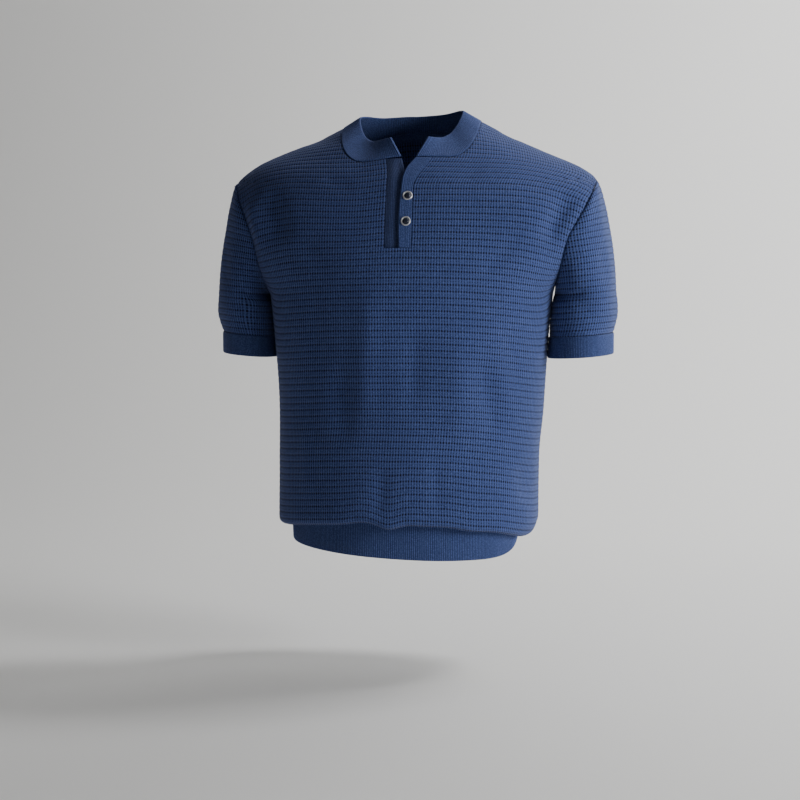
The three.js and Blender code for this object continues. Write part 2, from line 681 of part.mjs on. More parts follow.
// The body's neck edge from the front end on the wearer's left, round the back, to the other end.
function neckEdge() {
  const line = [];
  const quarter = (face, side, from) => {
    const points = [];
    const level = rowHeight(rowNear(face, neckZOf(face)));
    for (let n = 0; n < 4; n++)
      points.push(coursePoint(face, mix(from, side * NECK_BEND_X, n / 4), level));
    const climb = panelColumn(face, (z) => side * neckEdgeAngle(face, z), FOLD_Z, NECK_TOP);
    const top = ridgeHeight(face, NECK_HALF);
    for (let height = level; height < top; height += HALF_PITCH) points.push(climb(height));
    points.push(climb(top));
    return points;
  };
  line.push(...quarter("front", 1, overEdgeX(FRONT_NECK_Z)));
  line.push(...quarter("back", 1, 0).reverse().slice(1));
  line.push(...quarter("back", -1, 0).slice(1));
  line.push(...quarter("front", -1, underEdgeX(FRONT_NECK_Z)).reverse().slice(1));
  const lengths = [0];
  for (let i = 1; i < line.length; i++)
    lengths.push(lengths[i - 1] + line[i].point.distanceTo(line[i - 1].point));
  return (share) => {
    const length = clamp01(share) * lengths[lengths.length - 1];
    let i = 1;
    while (i < lengths.length - 1 && lengths[i] < length) i++;
    const t = (length - lengths[i - 1]) / (lengths[i] - lengths[i - 1]);
    const [a, b] = [line[i - 1], line[i]];
    return {
      point: a.point.clone().lerp(b.point, t),
      normal: a.normal.clone().lerp(b.normal, t).normalize(),
    };
  };
}

// The neckband leans in from the body's neck edge to a smaller loop round the neck.
function neckband() {
  const edge = neckEdge();
  const turnOf = (point) => Math.atan2(Math.abs(point.x), COLLAR_CENTRE_Y - point.y);
  const ends = { left: [turnOf(edge(0).point), 0.41], right: [turnOf(edge(1).point), 0.3] };
  const top = (base) => {
    const [from, opened] = base.x > 0 ? ends.left : ends.right;
    const lead = clamp01((turnOf(base) - from) / (Math.PI / 2 - from));
    const turn = turnOf(base) < Math.PI / 2 ? mix(opened, Math.PI / 2, lead) : turnOf(base);
    const reach = turn < Math.PI / 2 ? COLLAR_FRONT : COLLAR_BACK;
    return vector(
      Math.sign(base.x) * COLLAR_HALF_WIDTH * Math.sin(turn),
      COLLAR_CENTRE_Y - reach * Math.cos(turn),
      collarTopZ(THREE.MathUtils.radToDeg(turn)),
    );
  };
  return band({
    at: (across, up) => {
      const base = edge(across).point;
      return base.clone().lerp(top(base), mix(0.02, 1, up));
    },
    rows: 2,
    columns: 44,
    firstNormal: (across) => edge(across).normal,
  });
}

// A strip of the placket, in the slot of the front panel. lift is its distance off the panel.
function placketStrip(leftEdge, rightEdge, lift) {
  const bottom = coursePoint("front", 0, rowHeight(rowNear("front", SLIT_BOTTOM_Z))).point.z;
  const top = coursePoint("front", 12, rowHeight(rowNear("front", FRONT_NECK_Z))).point.z;
  return band({
    at: (across, up) => {
      const z = mix(bottom + 2 * SEAM_GAP, top - 2 * SEAM_GAP, up);
      const x = mix(leftEdge(z), rightEdge(z), across);
      const angle = angleAt("front", x, z);
      return sectionPoint("front", angle, z).addScaledVector(panelNormal("front", angle, z), lift(x));
    },
    rows: 15,
    columns: 2,
  });
}

// The rib hem hangs from the panel's turned-in edge.
function hemBand(face) {
  const out = face === "front" ? 1 : -1;
  return band({
    at: (across, up) => {
      const share = out * mix(-1, 1, across);
      const hung = panelColumn(face, (z) => share * section(face, z).edge, FOLD_Z - 60, ARMPIT_Z);
      const { point, normal } = hung(foldHeight);
      const level = vector(normal.x, normal.y, 0).normalize();
      const low = point.clone().addScaledVector(level, -HEM_SET_IN - BAND_WALL / 2 - HEM_TAPER * (1 - up));
      const dip = face === "front" ? HEM_FRONT_DIP * (1 - share * share) * (1 + 0.8 * share) : 0;
      low.z = mix(HEM_BOTTOM - HEM_TILT * share - dip, point.z + 0.5, up);
      return low;
    },
    rows: 2,
    columns: 22,
  });
}

function cuff(side) {
  return band({
    at: (across, up) => {
      const point = sleevePoint(0, across - Math.floor(across));
      const inner = Math.max(0, (CUFF_MIDDLE_X - point.x) / (CUFF_MIDDLE_X - SLEEVE_INNER_X));
      point.x -= CUFF_TUCK * inner * (1 - up);
      point.z -= mix(CUFF_HEIGHT, SEAM_GAP, up);
      return point;
    },
    rows: 2,
    columns: 28,
    ring: true,
    mirrored: side < 0,
  });
}

// A turned piece of a button, set on the over strip.
function buttonPiece(profile, button, height) {
  const angle = angleAt("front", button.x, button.z);
  const normal = panelNormal("front", angle, button.z);
  const seat = sectionPoint("front", angle, button.z).addScaledVector(normal, height);
  const geometry = new THREE.LatheGeometry(profile, 20);
  geometry.applyQuaternion(new THREE.Quaternion().setFromUnitVectors(vector(0, 1, 0), normal));
  geometry.translate(...posed(seat).toArray());
  return geometry;
}

const RING_SIDES = 6;
const ringProfile = () => {
  const inner = BUTTON_RADIUS - RING_WIDTH;
  const points = [];
  for (let n = 0; n <= RING_SIDES; n++) {
    const turn = (n / RING_SIDES) * 2 * Math.PI;
    const x = inner + (RING_WIDTH / 2) * (1 + Math.cos(turn));
    points.push(new THREE.Vector2(x, (RING_HEIGHT / 2) * (1 + Math.sin(turn))));
  }
  points[RING_SIDES].copy(points[0]);
  return points;
};

const domeProfile = () => {
  const radius = BUTTON_RADIUS - RING_WIDTH - SEAM_GAP;
  const points = [new THREE.Vector2(0, 0), new THREE.Vector2(radius, 0), new THREE.Vector2(radius, 0.7)];
  for (let n = 1; n < 4; n++) {
    const turn = (n / 4) * (Math.PI / 2);
    points.push(new THREE.Vector2(radius * Math.cos(turn), 0.7 + (DOME_HEIGHT - 0.7) * Math.sin(turn)));
  }
  points.push(new THREE.Vector2(0, DOME_HEIGHT));
  return points;
};

const CLOTH = { color: 0x24365f, roughness: 0.92, metalness: 0 };
const RIBBING = { color: 0x22335a, roughness: 0.9, metalness: 0 };
const METAL = { color: 0xd9dadc, roughness: 0.25, metalness: 1 };
const DARK = { color: 0x141a2c, roughness: 0.3, metalness: 0 };

const shirt = new THREE.Group();
function add(name, geometry, look) {
  const mesh = new THREE.Mesh(geometry, new THREE.MeshStandardMaterial(look));
  mesh.name = name;
  shirt.add(mesh);
}

add("front", panel("front"), CLOTH);
add("back", panel("back"), CLOTH);
add("sleeve_left", sleeve(1), CLOTH);
add("sleeve_right", sleeve(-1), CLOTH);
add("neckband", neckband(), RIBBING);
const dip = (x) => -1.5 - 1.4 * ease((x + 16) / 10);
add("placket_over", placketStrip(overEdgeX, overSeamX, () => 0), RIBBING);
add("placket_under", placketStrip(underSeamX, underEdgeX, dip), RIBBING);
add("hem_front", hemBand("front"), RIBBING);
add("hem_back", hemBand("back"), RIBBING);
add("cuff_left", cuff(1), RIBBING);
add("cuff_right", cuff(-1), RIBBING);
for (const button of BUTTONS) {
  add(`button_ring_${button.name}`, buttonPiece(ringProfile(), button, BAND_WALL / 2 + SEAM_GAP), METAL);
  add(`button_dome_${button.name}`, buttonPiece(domeProfile(), button, BAND_WALL / 2 + SEAM_GAP), DARK);
}

export default shirt;
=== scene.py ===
"""The looks of a short-sleeved knit henley shirt in worn form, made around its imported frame.

Inside the forms a length is in millimetres, as the shirt is drafted, and every mesh is in metres. +X is the
wearer's left, -Y the front and +Z up. The origin is level with the neck ends of the shoulder seams.
"""

import json
import logging
import math
from dataclasses import dataclass, field
from enum import Enum
from typing import Any, Callable, NamedTuple, Sequence

import bpy
import numpy as np
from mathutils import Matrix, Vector

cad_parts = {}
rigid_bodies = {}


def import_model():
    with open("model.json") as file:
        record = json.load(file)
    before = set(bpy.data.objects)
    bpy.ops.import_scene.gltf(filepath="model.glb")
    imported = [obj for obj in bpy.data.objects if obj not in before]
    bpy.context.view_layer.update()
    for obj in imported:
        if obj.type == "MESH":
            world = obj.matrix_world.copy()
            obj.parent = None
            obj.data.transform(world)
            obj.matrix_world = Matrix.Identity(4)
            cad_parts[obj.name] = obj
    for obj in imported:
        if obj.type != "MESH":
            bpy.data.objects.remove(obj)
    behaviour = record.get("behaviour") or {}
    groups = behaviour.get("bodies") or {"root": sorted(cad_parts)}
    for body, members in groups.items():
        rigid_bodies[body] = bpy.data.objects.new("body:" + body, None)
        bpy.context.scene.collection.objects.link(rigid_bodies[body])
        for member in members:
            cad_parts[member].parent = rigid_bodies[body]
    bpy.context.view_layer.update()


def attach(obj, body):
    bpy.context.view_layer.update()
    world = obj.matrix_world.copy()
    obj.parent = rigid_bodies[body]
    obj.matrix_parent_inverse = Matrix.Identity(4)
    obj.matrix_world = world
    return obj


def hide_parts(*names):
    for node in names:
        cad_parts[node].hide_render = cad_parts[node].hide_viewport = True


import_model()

Array = np.ndarray
log = logging.getLogger("henley")

MILLIMETRE = 0.001
RIB_PITCH = 8.25
STITCH_PITCH = 3.5
FINE_PITCH = 2.1
SEAM_GAP = 0.3
CREASE_FADE = 0.35
# The rim distance of cloth that lies away from every edge.
FAR = 99.0
# The slot's edges are rolled only as much as cloth that lies this far from an edge.
SLOT_FIRMNESS = 1.7
BODY = "root"


class Face(Enum):
    """The two halves of the body."""

    FRONT = "front"
    BACK = "back"

    @property
    def out(self) -> int:
        """The sign of Y that points out of this half."""
        return -1 if self is Face.FRONT else 1


class Side(Enum):
    """The wearer's two sides, by the sign of X."""

    LEFT = 1
    RIGHT = -1

    @property
    def word(self) -> str:
        """The side's name, as the frame's nodes spell it."""
        return self.name.lower()


def mix(a: Any, b: Any, t: Any) -> Any:
    """Gives the value at share t of the way from a to b."""
    return a + (b - a) * t


def ease(t: Any) -> Any:
    """Gives a smooth step from 0 to 1 while t goes from 0 to 1."""
    held = np.clip(t, 0.0, 1.0)
    return held * held * (3 - 2 * held)


def bell(t: Any) -> Any:
    """Gives a soft bump, 1 where t is 0."""
    return np.exp(-np.square(t))


def crease_lift(place: tuple, start: tuple, end: tuple, width: float, depth: float) -> Any:
    """Gives how far a crease from start to end moves points out. It fades towards its ends."""
    (x, z), (x0, z0), (x1, z1) = place, start, end
    length = math.hypot(x1 - x0, z1 - z0)
    along = ((x - x0) * (x1 - x0) + (z - z0) * (z1 - z0)) / length
    off = ((x - x0) * (z1 - z0) - (z - z0) * (x1 - x0)) / length
    ends = ease(along / (CREASE_FADE * length)) * ease((length - along) / (CREASE_FADE * length))
    return depth * ends * bell(off / width)


class Curve:
    """A smooth curve through one column of a short table, without overshoot."""

    def __init__(self, rows: Sequence[Any], key: str, column: str) -> None:
        """Reads the table.

        Args:
            rows: the table's rows.
            key: the name of the column to look up.
            column: the name of the column that the curve gives.
        """
        ordered = sorted(rows, key=lambda row: getattr(row, key))
        self.at = np.array([getattr(row, key) for row in ordered], float)
        self.value = np.array([getattr(row, column) for row in ordered], float)
        slope = np.diff(self.value) / np.diff(self.at)
        product = slope[:-1] * slope[1:]
        total = np.where(product > 0, slope[:-1] + slope[1:], 1.0)
        inner = np.where(product > 0, 2 * product / total, 0.0)
        self.tangent = np.concatenate([slope[:1], inner, slope[-1:]])

    def __call__(self, where: Any) -> Array:
        """Gives the curve's values.

        Args:
            where: places in the key column's units, held to the table's range.

        Returns:
            The values there.
        """
        t = np.clip(where, self.at[0], self.at[-1])
        i = np.clip(np.searchsorted(self.at, t) - 1, 0, len(self.at) - 2)
        span = self.at[i + 1] - self.at[i]
        s = (t - self.at[i]) / span
        rise = s * s * (3 - 2 * s)
        lead = s * (1 - s) ** 2 * span * self.tangent[i]
        trail = s * s * (s - 1) * span * self.tangent[i + 1]
        return self.value[i] * (1 - rise) + self.value[i + 1] * rise + lead + trail


class Outline(NamedTuple):
    """A point of an outline in the front view."""

    z: float
    x: float


class Depth(NamedTuple):
    """How far the body reaches on the middle plane at a level, how flat it is, and its sideways sway."""

    z: float
    front: float
    back: float
    flat: float
    sway: float


class Droop(NamedTuple):
    """How much lower a course lies at each side seam than at the middle."""

    z: float
    left: float
    right: float


class Crease(NamedTuple):
    """A soft ridge or trough along a line, from its top end to its bottom end."""

    x0: float
    z0: float
    x1: float
    z1: float
    width: float
    depth: float


class Wave(NamedTuple):
    """Where the front's hem fold hangs lower, or higher where drop is negative."""

    x: float
    width: float
    drop: float


class Opening(NamedTuple):
    """The free edges of the two placket strips at a level."""

    z: float
    over: float
    under: float


class CollarTop(NamedTuple):
    """The height of the neckband's top edge, by its turn round the neck in degrees."""

    turn: float
    z: float


class SleeveCrease(NamedTuple):
    """A soft ridge or trough on a sleeve, by share of its height and of its turn from front to back."""

    share0: float
    turn0: float
    share1: float
    turn1: float
    width: float
    depth: float


BODY_OUTLINE = (
    Outline(-7, 91), Outline(-17, 109), Outline(-27, 126), Outline(-35, 146), Outline(-43, 165),
    Outline(-53, 188), Outline(-61, 206), Outline(-69, 220), Outline(-77, 231), Outline(-84, 237),
    Outline(-92, 234), Outline(-112, 225), Outline(-137, 213), Outline(-160, 203), Outline(-200, 194),
    Outline(-233, 186), Outline(-270, 181.9), Outline(-310, 179), Outline(-377, 174.8), Outline(-441, 172),
    Outline(-505, 172), Outline(-560, 172),
)
SLEEVE_OUTLINE = (
    Outline(-84, 237), Outline(-92, 240.5), Outline(-108, 245), Outline(-124, 249), Outline(-140, 252),
    Outline(-172, 257.5), Outline(-203, 261), Outline(-235, 263), Outline(-255, 264), Outline(-272, 262),
    Outline(-282, 259),
)
DEPTHS = (
    Depth(-4, -38, 66, 1.3, 0),
    Depth(-22, -46, 76, 1.26, 0),
    Depth(-50, -62, 91, 1.2, 0),
    Depth(-84, -85, 105, 1.1, 0),
    Depth(-130, -106, 114, 1.0, 0),
    Depth(-170, -118, 118, 0.92, 0),
    Depth(-210, -124, 119, 0.82, 0),
    Depth(-250, -125, 116, 0.76, 0),
    Depth(-310, -123, 109, 0.79, 0),
    Depth(-380, -120, 105, 0.8, 0),
    Depth(-450, -119, 107, 0.8, -3),
    Depth(-510, -120, 110, 0.8, -3.5),
    Depth(-570, -120, 110, 0.8, -3.5),
)
DROOPS = (
    Droop(-560, 27, 14), Droop(-500, 26, 13), Droop(-380, 20, 11),
    Droop(-230, 15, 10), Droop(-84, 8, 6), Droop(-4, 0, 0),
)
HEM_WAVES = (Wave(-14, 16, 6), Wave(-48, 20, -3), Wave(92, 24, 3), Wave(40, 22, 1))
COLLAR_TOP = (
    CollarTop(0, -29), CollarTop(20, -30), CollarTop(38, -31), CollarTop(52, -26), CollarTop(66, -14),
    CollarTop(78, -3), CollarTop(92, 6), CollarTop(115, 8), CollarTop(145, 5), CollarTop(180, 3),
)
OPENINGS = (
    Opening(-57, 13, -5), Opening(-72, 1.5, 0), Opening(-86, -2.6, 5), Opening(-137, -5, 7),
    Opening(-175, -3.5, 7),
)
CREASES = {
    Face.FRONT: (
        Crease(210, -96, 178, -172, 13, -6),
        Crease(222, -112, 196, -196, 10, 3),
        Crease(-212, -100, -186, -180, 12, 4.5),
        Crease(-182, -92, -148, -168, 15, -5),
        Crease(96, -300, 122, -420, 14, -4.5),
        Crease(66, -250, 78, -450, 20, 3),
        Crease(18, -250, 16, -400, 14, -2.5),
        Crease(-40, -200, -52, -420, 18, 3),
        Crease(-78, -310, -74, -430, 14, -3),
        Crease(150, -440, 166, -510, 12, -4),
        Crease(128, -250, 150, -380, 11, -1.6),
        Crease(-120, -230, -104, -340, 13, -1.8),
        Crease(-132, -380, -118, -500, 12, 1.7),
        Crease(44, -420, 52, -520, 10, -1.6),
        Crease(-20, -440, -26, -524, 11, -1.9),
        Crease(150, -150, 96, -214, 12, -1.8),
        Crease(-134, -150, -92, -220, 13, -1.5),
        Crease(60, -84, 104, -70, 9, -1.0),
        Crease(-60, -92, -110, -76, 9, -0.9),
    ),
    Face.BACK: (
        Crease(190, -112, 146, -210, 15, -5),
        Crease(-190, -108, -148, -200, 15, -5),
        Crease(34, -290, 52, -470, 20, -4),
        Crease(-8, -250, -4, -450, 20, 3),
        Crease(-46, -300, -66, -480, 18, -5),
        Crease(100, -330, 118, -490, 16, -3.5),
        Crease(-112, -270, -100, -400, 14, -2.2),
        Crease(-134, -400, -140, -505, 12, 2.0),
        Crease(146, -250, 136, -350, 12, -1.6),
        Crease(14, -440, 12, -525, 11, -1.8),
        Crease(70, -440, 82, -520, 11, -1.6),
        Crease(-88, -120, -30, -140, 14, -1.3),
        Crease(76, -96, 22, -120, 13, -1.2),
        Crease(-150, -176, -112, -250, 14, -1.7),
        Crease(140, -190, 110, -262, 13, -1.6),
    ),
}
SLEEVE_CREASES = (
    SleeveCrease(0.34, 0.14, 0.12, 0.32, 11, -2.2),
    SleeveCrease(0.3, 0.86, 0.1, 0.72, 12, -2.4),
    SleeveCrease(0.62, 0.26, 0.28, 0.36, 13, -1.4),
    SleeveCrease(0.6, 0.72, 0.22, 0.64, 13, -1.6),
    SleeveCrease(0.28, 0.5, 0.04, 0.46, 12, 1.3),
)


class Section(NamedTuple):
    """The measures of a level section through one half of the body."""

    half_width: Array
    depth: Array
    centre: Array
    flat: Array
    edge: Array


class Path(NamedTuple):
    """Points of the cloth with their outward normals, and the section angle and height of each."""

    point: Array
    normal: Array
    angle: Array
    z: Array


@dataclass(frozen=True)
class BodyForm:
    """The surface of the body, as it is drafted.

    A section runs from the middle to an edge, on the shoulder seam, the armhole or the side seam. A
    course of the knit is a line of equal cloth height, so courses close up where the cloth leans back
    over the shoulder.
    """

    neck_half: float = 91
    neck_top: float = -7
    tip_z: float = -84
    armpit_z: float = -233
    armhole_half_depth: float = 70
    armhole_y: float = 18
    ridge_y: float = 30
    fold_z: float = -514
    fold_radius: float = 8
    fold_ribs: int = 3
    front_neck_z: float = -57
    back_neck_z: float = -22
    neck_bend_x: float = 56
    slit_bottom_z: float = -173
    over_seam_x: float = 12
    under_seam_x: float = -22
    shoulder_drop: float = 7
    arm_lean: float = 6
    plumb_x: float = 150
    plumb_step: float = 20
    settle: float = 140
    outline_x: Curve = Curve(BODY_OUTLINE, "z", "x")
    ridge_z: Curve = Curve(BODY_OUTLINE[:10], "x", "z")
    front_reach: Curve = Curve(DEPTHS, "z", "front")
    back_reach: Curve = Curve(DEPTHS, "z", "back")
    flatness: Curve = Curve(DEPTHS, "z", "flat")
    sway: Curve = Curve(DEPTHS, "z", "sway")
    left_droop: Curve = Curve(DROOPS, "z", "left")
    right_droop: Curve = Curve(DROOPS, "z", "right")
    over_edge: Curve = Curve(OPENINGS, "z", "over")
    under_edge: Curve = Curve(OPENINGS, "z", "under")
    corner_z: dict[Face, float] = field(default_factory=dict)
    sections: dict[Face, Array] = field(default_factory=dict)
    ridges: dict[Face, Array] = field(default_factory=dict)
    corner_tuck: float = 11
    lowest: float = -600
    fine_step: float = 0.1
    drop_reach: float = 70
    drop_fade: float = 0.6
    drop_fade_x: float = 80
    drop_fade_width: float = 90
    drop_low_z: float = -250
    drop_rise: float = 170
    arm_x: float = 182
    arm_blend: float = 45
    arm_low_share: float = 0.6
    arm_above_tip: float = 30
    arm_rise: float = 50
    corner_x: float = 105
    corner_blend: float = 60
    corner_top_z: float = -522
    corner_fall: float = 40
    over_open_x: float = 35
    over_bend_z: float = -96
    over_bend: float = 46
    under_open_x: float = -25
    under_bend_z: float = -80
    under_bend: float = 30

    @property
    def fold_height(self) -> float:
        """The cloth height where the body turns in over the hem."""
        return self.fold_z - self.armpit_z

    @property
    def armhole_middle(self) -> float:
        """The height of the armhole's middle."""
        return (self.tip_z + self.armpit_z) / 2

    @property
    def armhole_half(self) -> float:
        """Half the armhole's height."""
        return (self.tip_z - self.armpit_z) / 2

    def section(self, face: Face, z: Any) -> Section:
        """Gives the level sections at some heights, from a fine ladder of them that is measured once.

        Args:
            face: the half of the body.
            z: heights.

        Returns:
            Their half widths, depths, middles, flatness and edge angles.
        """
        ladder = np.arange(self.lowest, 1, self.fine_step)
        if face not in self.sections:
            self.sections[face] = np.stack(self.measured(face, ladder))
        return Section(*(np.interp(z, ladder, row) for row in self.sections[face]))

    def measured(self, face: Face, z: Array) -> Section:
        """Measures the level sections at some heights.

        Args:
            face: the half of the body.
            z: heights.

        Returns:
            Their half widths, depths, middles, flatness and edge angles.
        """
        above = (z - self.tip_z) / (self.neck_top - self.tip_z)
        centre = np.where(z < self.tip_z, self.armhole_y, mix(self.armhole_y, self.ridge_y, above))
        reach = self.front_reach(z) if face is Face.FRONT else self.back_reach(z)
        depth = centre - reach
        flat = self.flatness(z)
        level = (z - self.armhole_middle) / self.armhole_half
        armhole = np.where(
            z < self.tip_z, self.armhole_half_depth * np.sqrt(np.maximum(0, 1 - level * level)), 0.0
        )
        turn = np.arccos((armhole / np.abs(depth)) ** (1 / flat))
        edge = np.arccos(((armhole + SEAM_GAP / 2) / np.abs(depth)) ** (1 / flat))
        return Section(self.outline_x(z) / np.sin(turn), depth, centre, flat, edge)

    def place(self, face: Face, angle: Any, z: Any) -> Array:
        """Gives the drafted surface's points at section angles and heights."""
        angle, z = np.broadcast_arrays(np.asarray(angle, float), np.asarray(z, float))
        s = self.section(face, z)
        y = s.centre - s.depth * np.maximum(0, np.cos(angle)) ** s.flat
        return np.stack([s.half_width * np.sin(angle), y, z], -1)

    def angle_at(self, face: Face, x: Any, z: Any) -> Array:
        """Gives the section angle at a distance from the middle plane."""
        return np.arcsin(np.clip(x / self.section(face, z).half_width, -1, 1))

    def length_below_ridge(self, face: Face, x: Any, z: Any, steps: int = 32) -> Array:
        """Measures the cloth straight down from the panel's top to a height.

        Args:
            face: the half of the body.
            x: distances from the middle plane.
            z: heights.
            steps: how many chords the line is measured in.

        Returns:
            The lengths.
        """
        x, z = np.broadcast_arrays(np.asarray(x, float), np.asarray(z, float))
        top = np.where(x > self.neck_half, self.ridge_z(x), self.neck_top)
        level = top[..., None] - (top - z)[..., None] * (np.arange(steps + 1) / steps) ** 2
        s = self.section(face, level)
        across = np.minimum(1, x[..., None] / s.half_width)
        y = s.centre - s.depth * np.sqrt(1 - across * across) ** s.flat
        return np.hypot(np.diff(y), np.diff(level)).sum(-1)

    def whole_length(self, face: Face, x: Any) -> Array:
        """Gives the cloth's length from shoulder seam to armpit level, at distances from the middle."""
        places = np.arange(0, 260, 0.5)
        if face not in self.ridges:
            self.ridges[face] = self.length_below_ridge(face, places, self.armpit_z)
        return np.interp(x, places, self.ridges[face])

    def ridge_height(self, face: Face, x: Any) -> Array:
        """Gives the cloth height of the shoulder seam above the armpit, at distances from the middle."""
        near = self.whole_length(face, self.plumb_x)
        nearer = self.whole_length(face, self.plumb_x - self.plumb_step)
        beyond = near - (nearer - near) / self.plumb_step * (x - self.plumb_x)
        return np.where(x <= self.plumb_x, self.whole_length(face, x), beyond)

    def cloth_height(self, face: Face, x: Any, z: Any) -> Array:
        """Gives the height along the cloth, 0 at the armpit's level and equal along a course.

        Args:
            face: the half of the body.
            x: distances from the middle plane, with their signs.
            z: heights.

        Returns:
            The cloth heights.
        """
        x, z = np.broadcast_arrays(np.asarray(x, float), np.asarray(z, float))
        away = np.abs(x)
        droop = np.where(x > 0, self.left_droop(z), self.right_droop(z))
        droop = droop * np.minimum(1, away / self.outline_x(z)) ** 2.5
        ridge = self.ridge_height(face, away)
        above = ridge - self.length_below_ridge(face, away, z) + droop
        excess = np.where(away > self.plumb_x, ridge - self.whole_length(face, away), 0)
        wave = 0.0
        if face is Face.FRONT:
            wave = sum(w.drop * bell((x - w.x) / w.width) for w in HEM_WAVES)
            wave = wave * ease(1 - (z - self.fold_z) / 90)
        below = z - self.armpit_z + excess * ease(1 - (self.armpit_z - z) / self.settle) + droop + wave
        return np.where(z >= self.armpit_z, above, below)

    def crease_depth(self, face: Face, point: Array) -> Array:
        """Gives how far the creases and the cloth's slight ripple move points out."""
        x, z = point[..., 0], point[..., 2]
        total = np.zeros_like(x)
        for c in CREASES[face]:
            total += crease_lift((x, z), (c.x0, c.z0), (c.x1, c.z1), c.width, c.depth)
        turn = 1.3 if face is Face.FRONT else 2.9
        ripple = np.sin(x / 17 + z / 61 + turn)
        ripple = ripple + np.sin(x / 29 - z / 37 + 2 * turn) + np.sin(z / 19 + x / 83)
        return total + 0.32 * ripple

    def normal(self, face: Face, angle: Array, z: Array) -> Array:
        """Gives outward normals. On a seam they are square to it, so that both panels share them."""
        edge = self.section(face, z).edge
        up = self.place(face, angle, z + 0.5) - self.place(face, angle, z - 0.5)
        across = self.place(face, np.minimum(edge, angle + 0.03), z)
        across = across - self.place(face, np.maximum(-edge, angle - 0.03), z)
        seam = (np.abs(angle) > edge - 1e-6) & ((z >= self.tip_z) | (z <= self.armpit_z))
        square = np.stack([0 * angle, -face.out * np.sign(angle), 0 * angle], -1)
        across = np.where(seam[..., None], square, across)
        normal = np.cross(across, up) * -face.out
        return normal / np.linalg.norm(normal, axis=-1, keepdims=True)

    def paths(self, face: Face, angle_of: Callable[[Array], Array], heights: Array) -> Path:
        """Finds where columns that run up the cloth cross some courses.

        Args:
            face: the half of the body.
            angle_of: gives each column's section angle at heights z of shape (n, 1) or (n, columns).
            heights: the courses' cloth heights.

        Returns:
            The crossings, a row for each height and a column for each path.
        """
        ladder = np.append(np.arange(self.fold_z - 60, self.neck_top, 1.0), self.neck_top)[:, None]
        angle = angle_of(ladder)
        climb = self.cloth_height(face, self.section(face, ladder).half_width * np.sin(angle), ladder)
        climb = np.maximum.accumulate(climb + 1e-9 * np.arange(len(ladder))[:, None], axis=0)
        z = np.stack([np.interp(heights, column, ladder[:, 0]) for column in climb.T], 1)
        angle = angle_of(z)
        point, normal = self.place(face, angle, z), self.normal(face, angle, z)
        calm = ease((self.section(face, z).edge - np.abs(angle)) / 0.12)
        point = point + normal * (self.crease_depth(face, point) * calm)[..., None]
        return Path(point, normal, angle, z)

    def row_height(self, half_ribs: int) -> float:
        """Gives the cloth height of a row that is so many half ribs above the fold."""
        return self.fold_height + half_ribs * RIB_PITCH / 2

    def row_near(self, face: Face, z: float) -> int:
        """Gives the row, in half ribs above the fold, that is nearest a height on the middle plane."""
        height = float(self.cloth_height(face, 0.0, z))
        return math.floor((height - self.fold_height) / (RIB_PITCH / 2) + 0.5)

    def neck_row(self, face: Face) -> int:
        """Gives the row where the neckline crosses the middle."""
        return self.row_near(face, self.front_neck_z if face is Face.FRONT else self.back_neck_z)

    def course_point(self, face: Face, x: Any, height: float) -> Path:
        """Finds the cloth at distances from the middle plane, on one course."""
        x = np.atleast_1d(np.asarray(x, float))
        return self.paths(face, lambda z: self.angle_at(face, x, z), np.array([height]))

    def neck_corner(self, face: Face) -> float:
        """Gives the height where the neckline leaves its course and starts to climb."""
        if face not in self.corner_z:
            level = self.row_height(self.neck_row(face))
            self.corner_z[face] = float(self.course_point(face, self.neck_bend_x, level).z[0, 0])
        return self.corner_z[face]

    def neck_angle(self, face: Face, z: Array) -> Array:
        """Gives the section angle of the neck's edge at heights."""
        corner = self.neck_corner(face)
        rise = np.clip((self.neck_top - z) / (self.neck_top - corner), 0, 1)
        x = self.neck_bend_x + (self.neck_half - self.neck_bend_x) * np.sqrt(1 - rise * rise)
        return np.minimum(self.angle_at(face, x, z), self.section(face, z).edge)

    def over_seam(self, z: Any) -> Any:
        """Gives the over strip's sewn edge at heights: it opens towards the neck."""
        return mix(self.over_seam_x, self.over_open_x, ease((z - self.over_bend_z) / self.over_bend))

    def under_seam(self, z: Any) -> Any:
        """Gives the under strip's sewn edge at heights."""
        return mix(self.under_seam_x, self.under_open_x, ease((z - self.under_bend_z) / self.under_bend))

    def posed(self, point: Array) -> Array:
        """Gives points in the shirt's stance: the right shoulder lower, the arms leaning to the left."""
        x, y, z = point[..., 0], point[..., 1], point[..., 2]
        fade = 1 - self.drop_fade * ease((-x - self.drop_fade_x) / self.drop_fade_width)
        low = ease(-x / self.drop_reach) * fade * ease((z - self.drop_low_z) / self.drop_rise)
        hung = mix(self.arm_low_share, 1, ease((self.tip_z + self.arm_above_tip - z) / self.arm_rise))
        outer = ease((np.abs(x) - self.arm_x) / self.arm_blend) * hung
        corner = ease((x - self.corner_x) / self.corner_blend)
        corner = corner * ease((self.corner_top_z - z) / self.corner_fall)
        leaned = x + self.sway(z) * (1 - outer) + self.arm_lean * outer - self.corner_tuck * corner
        return np.stack([leaned, y, z - self.shoulder_drop * low], -1)


@dataclass
class Grid:
    """A sheet of cloth as rows and columns of points, before it is made a closed shell.

    Columns run to the right as seen from outside, and rows run up.
    """

    middle: Array
    normal: Array
    outer: Array
    inner: Array
    u: Array
    v: Array
    covered: Array
    ids: Array
    rim: Array

    @property
    def area(self) -> float:
        """The area of the sheet's middle surface in square metres."""
        p = self.middle * MILLIMETRE
        one = np.cross(p[:-1, 1:] - p[:-1, :-1], p[1:, :-1] - p[:-1, :-1])
        other = np.cross(p[1:, :-1] - p[1:, 1:], p[:-1, 1:] - p[1:, 1:])
        cells = (np.linalg.norm(one, axis=-1) + np.linalg.norm(other, axis=-1)) / 2
        return float(cells[self.covered].sum())


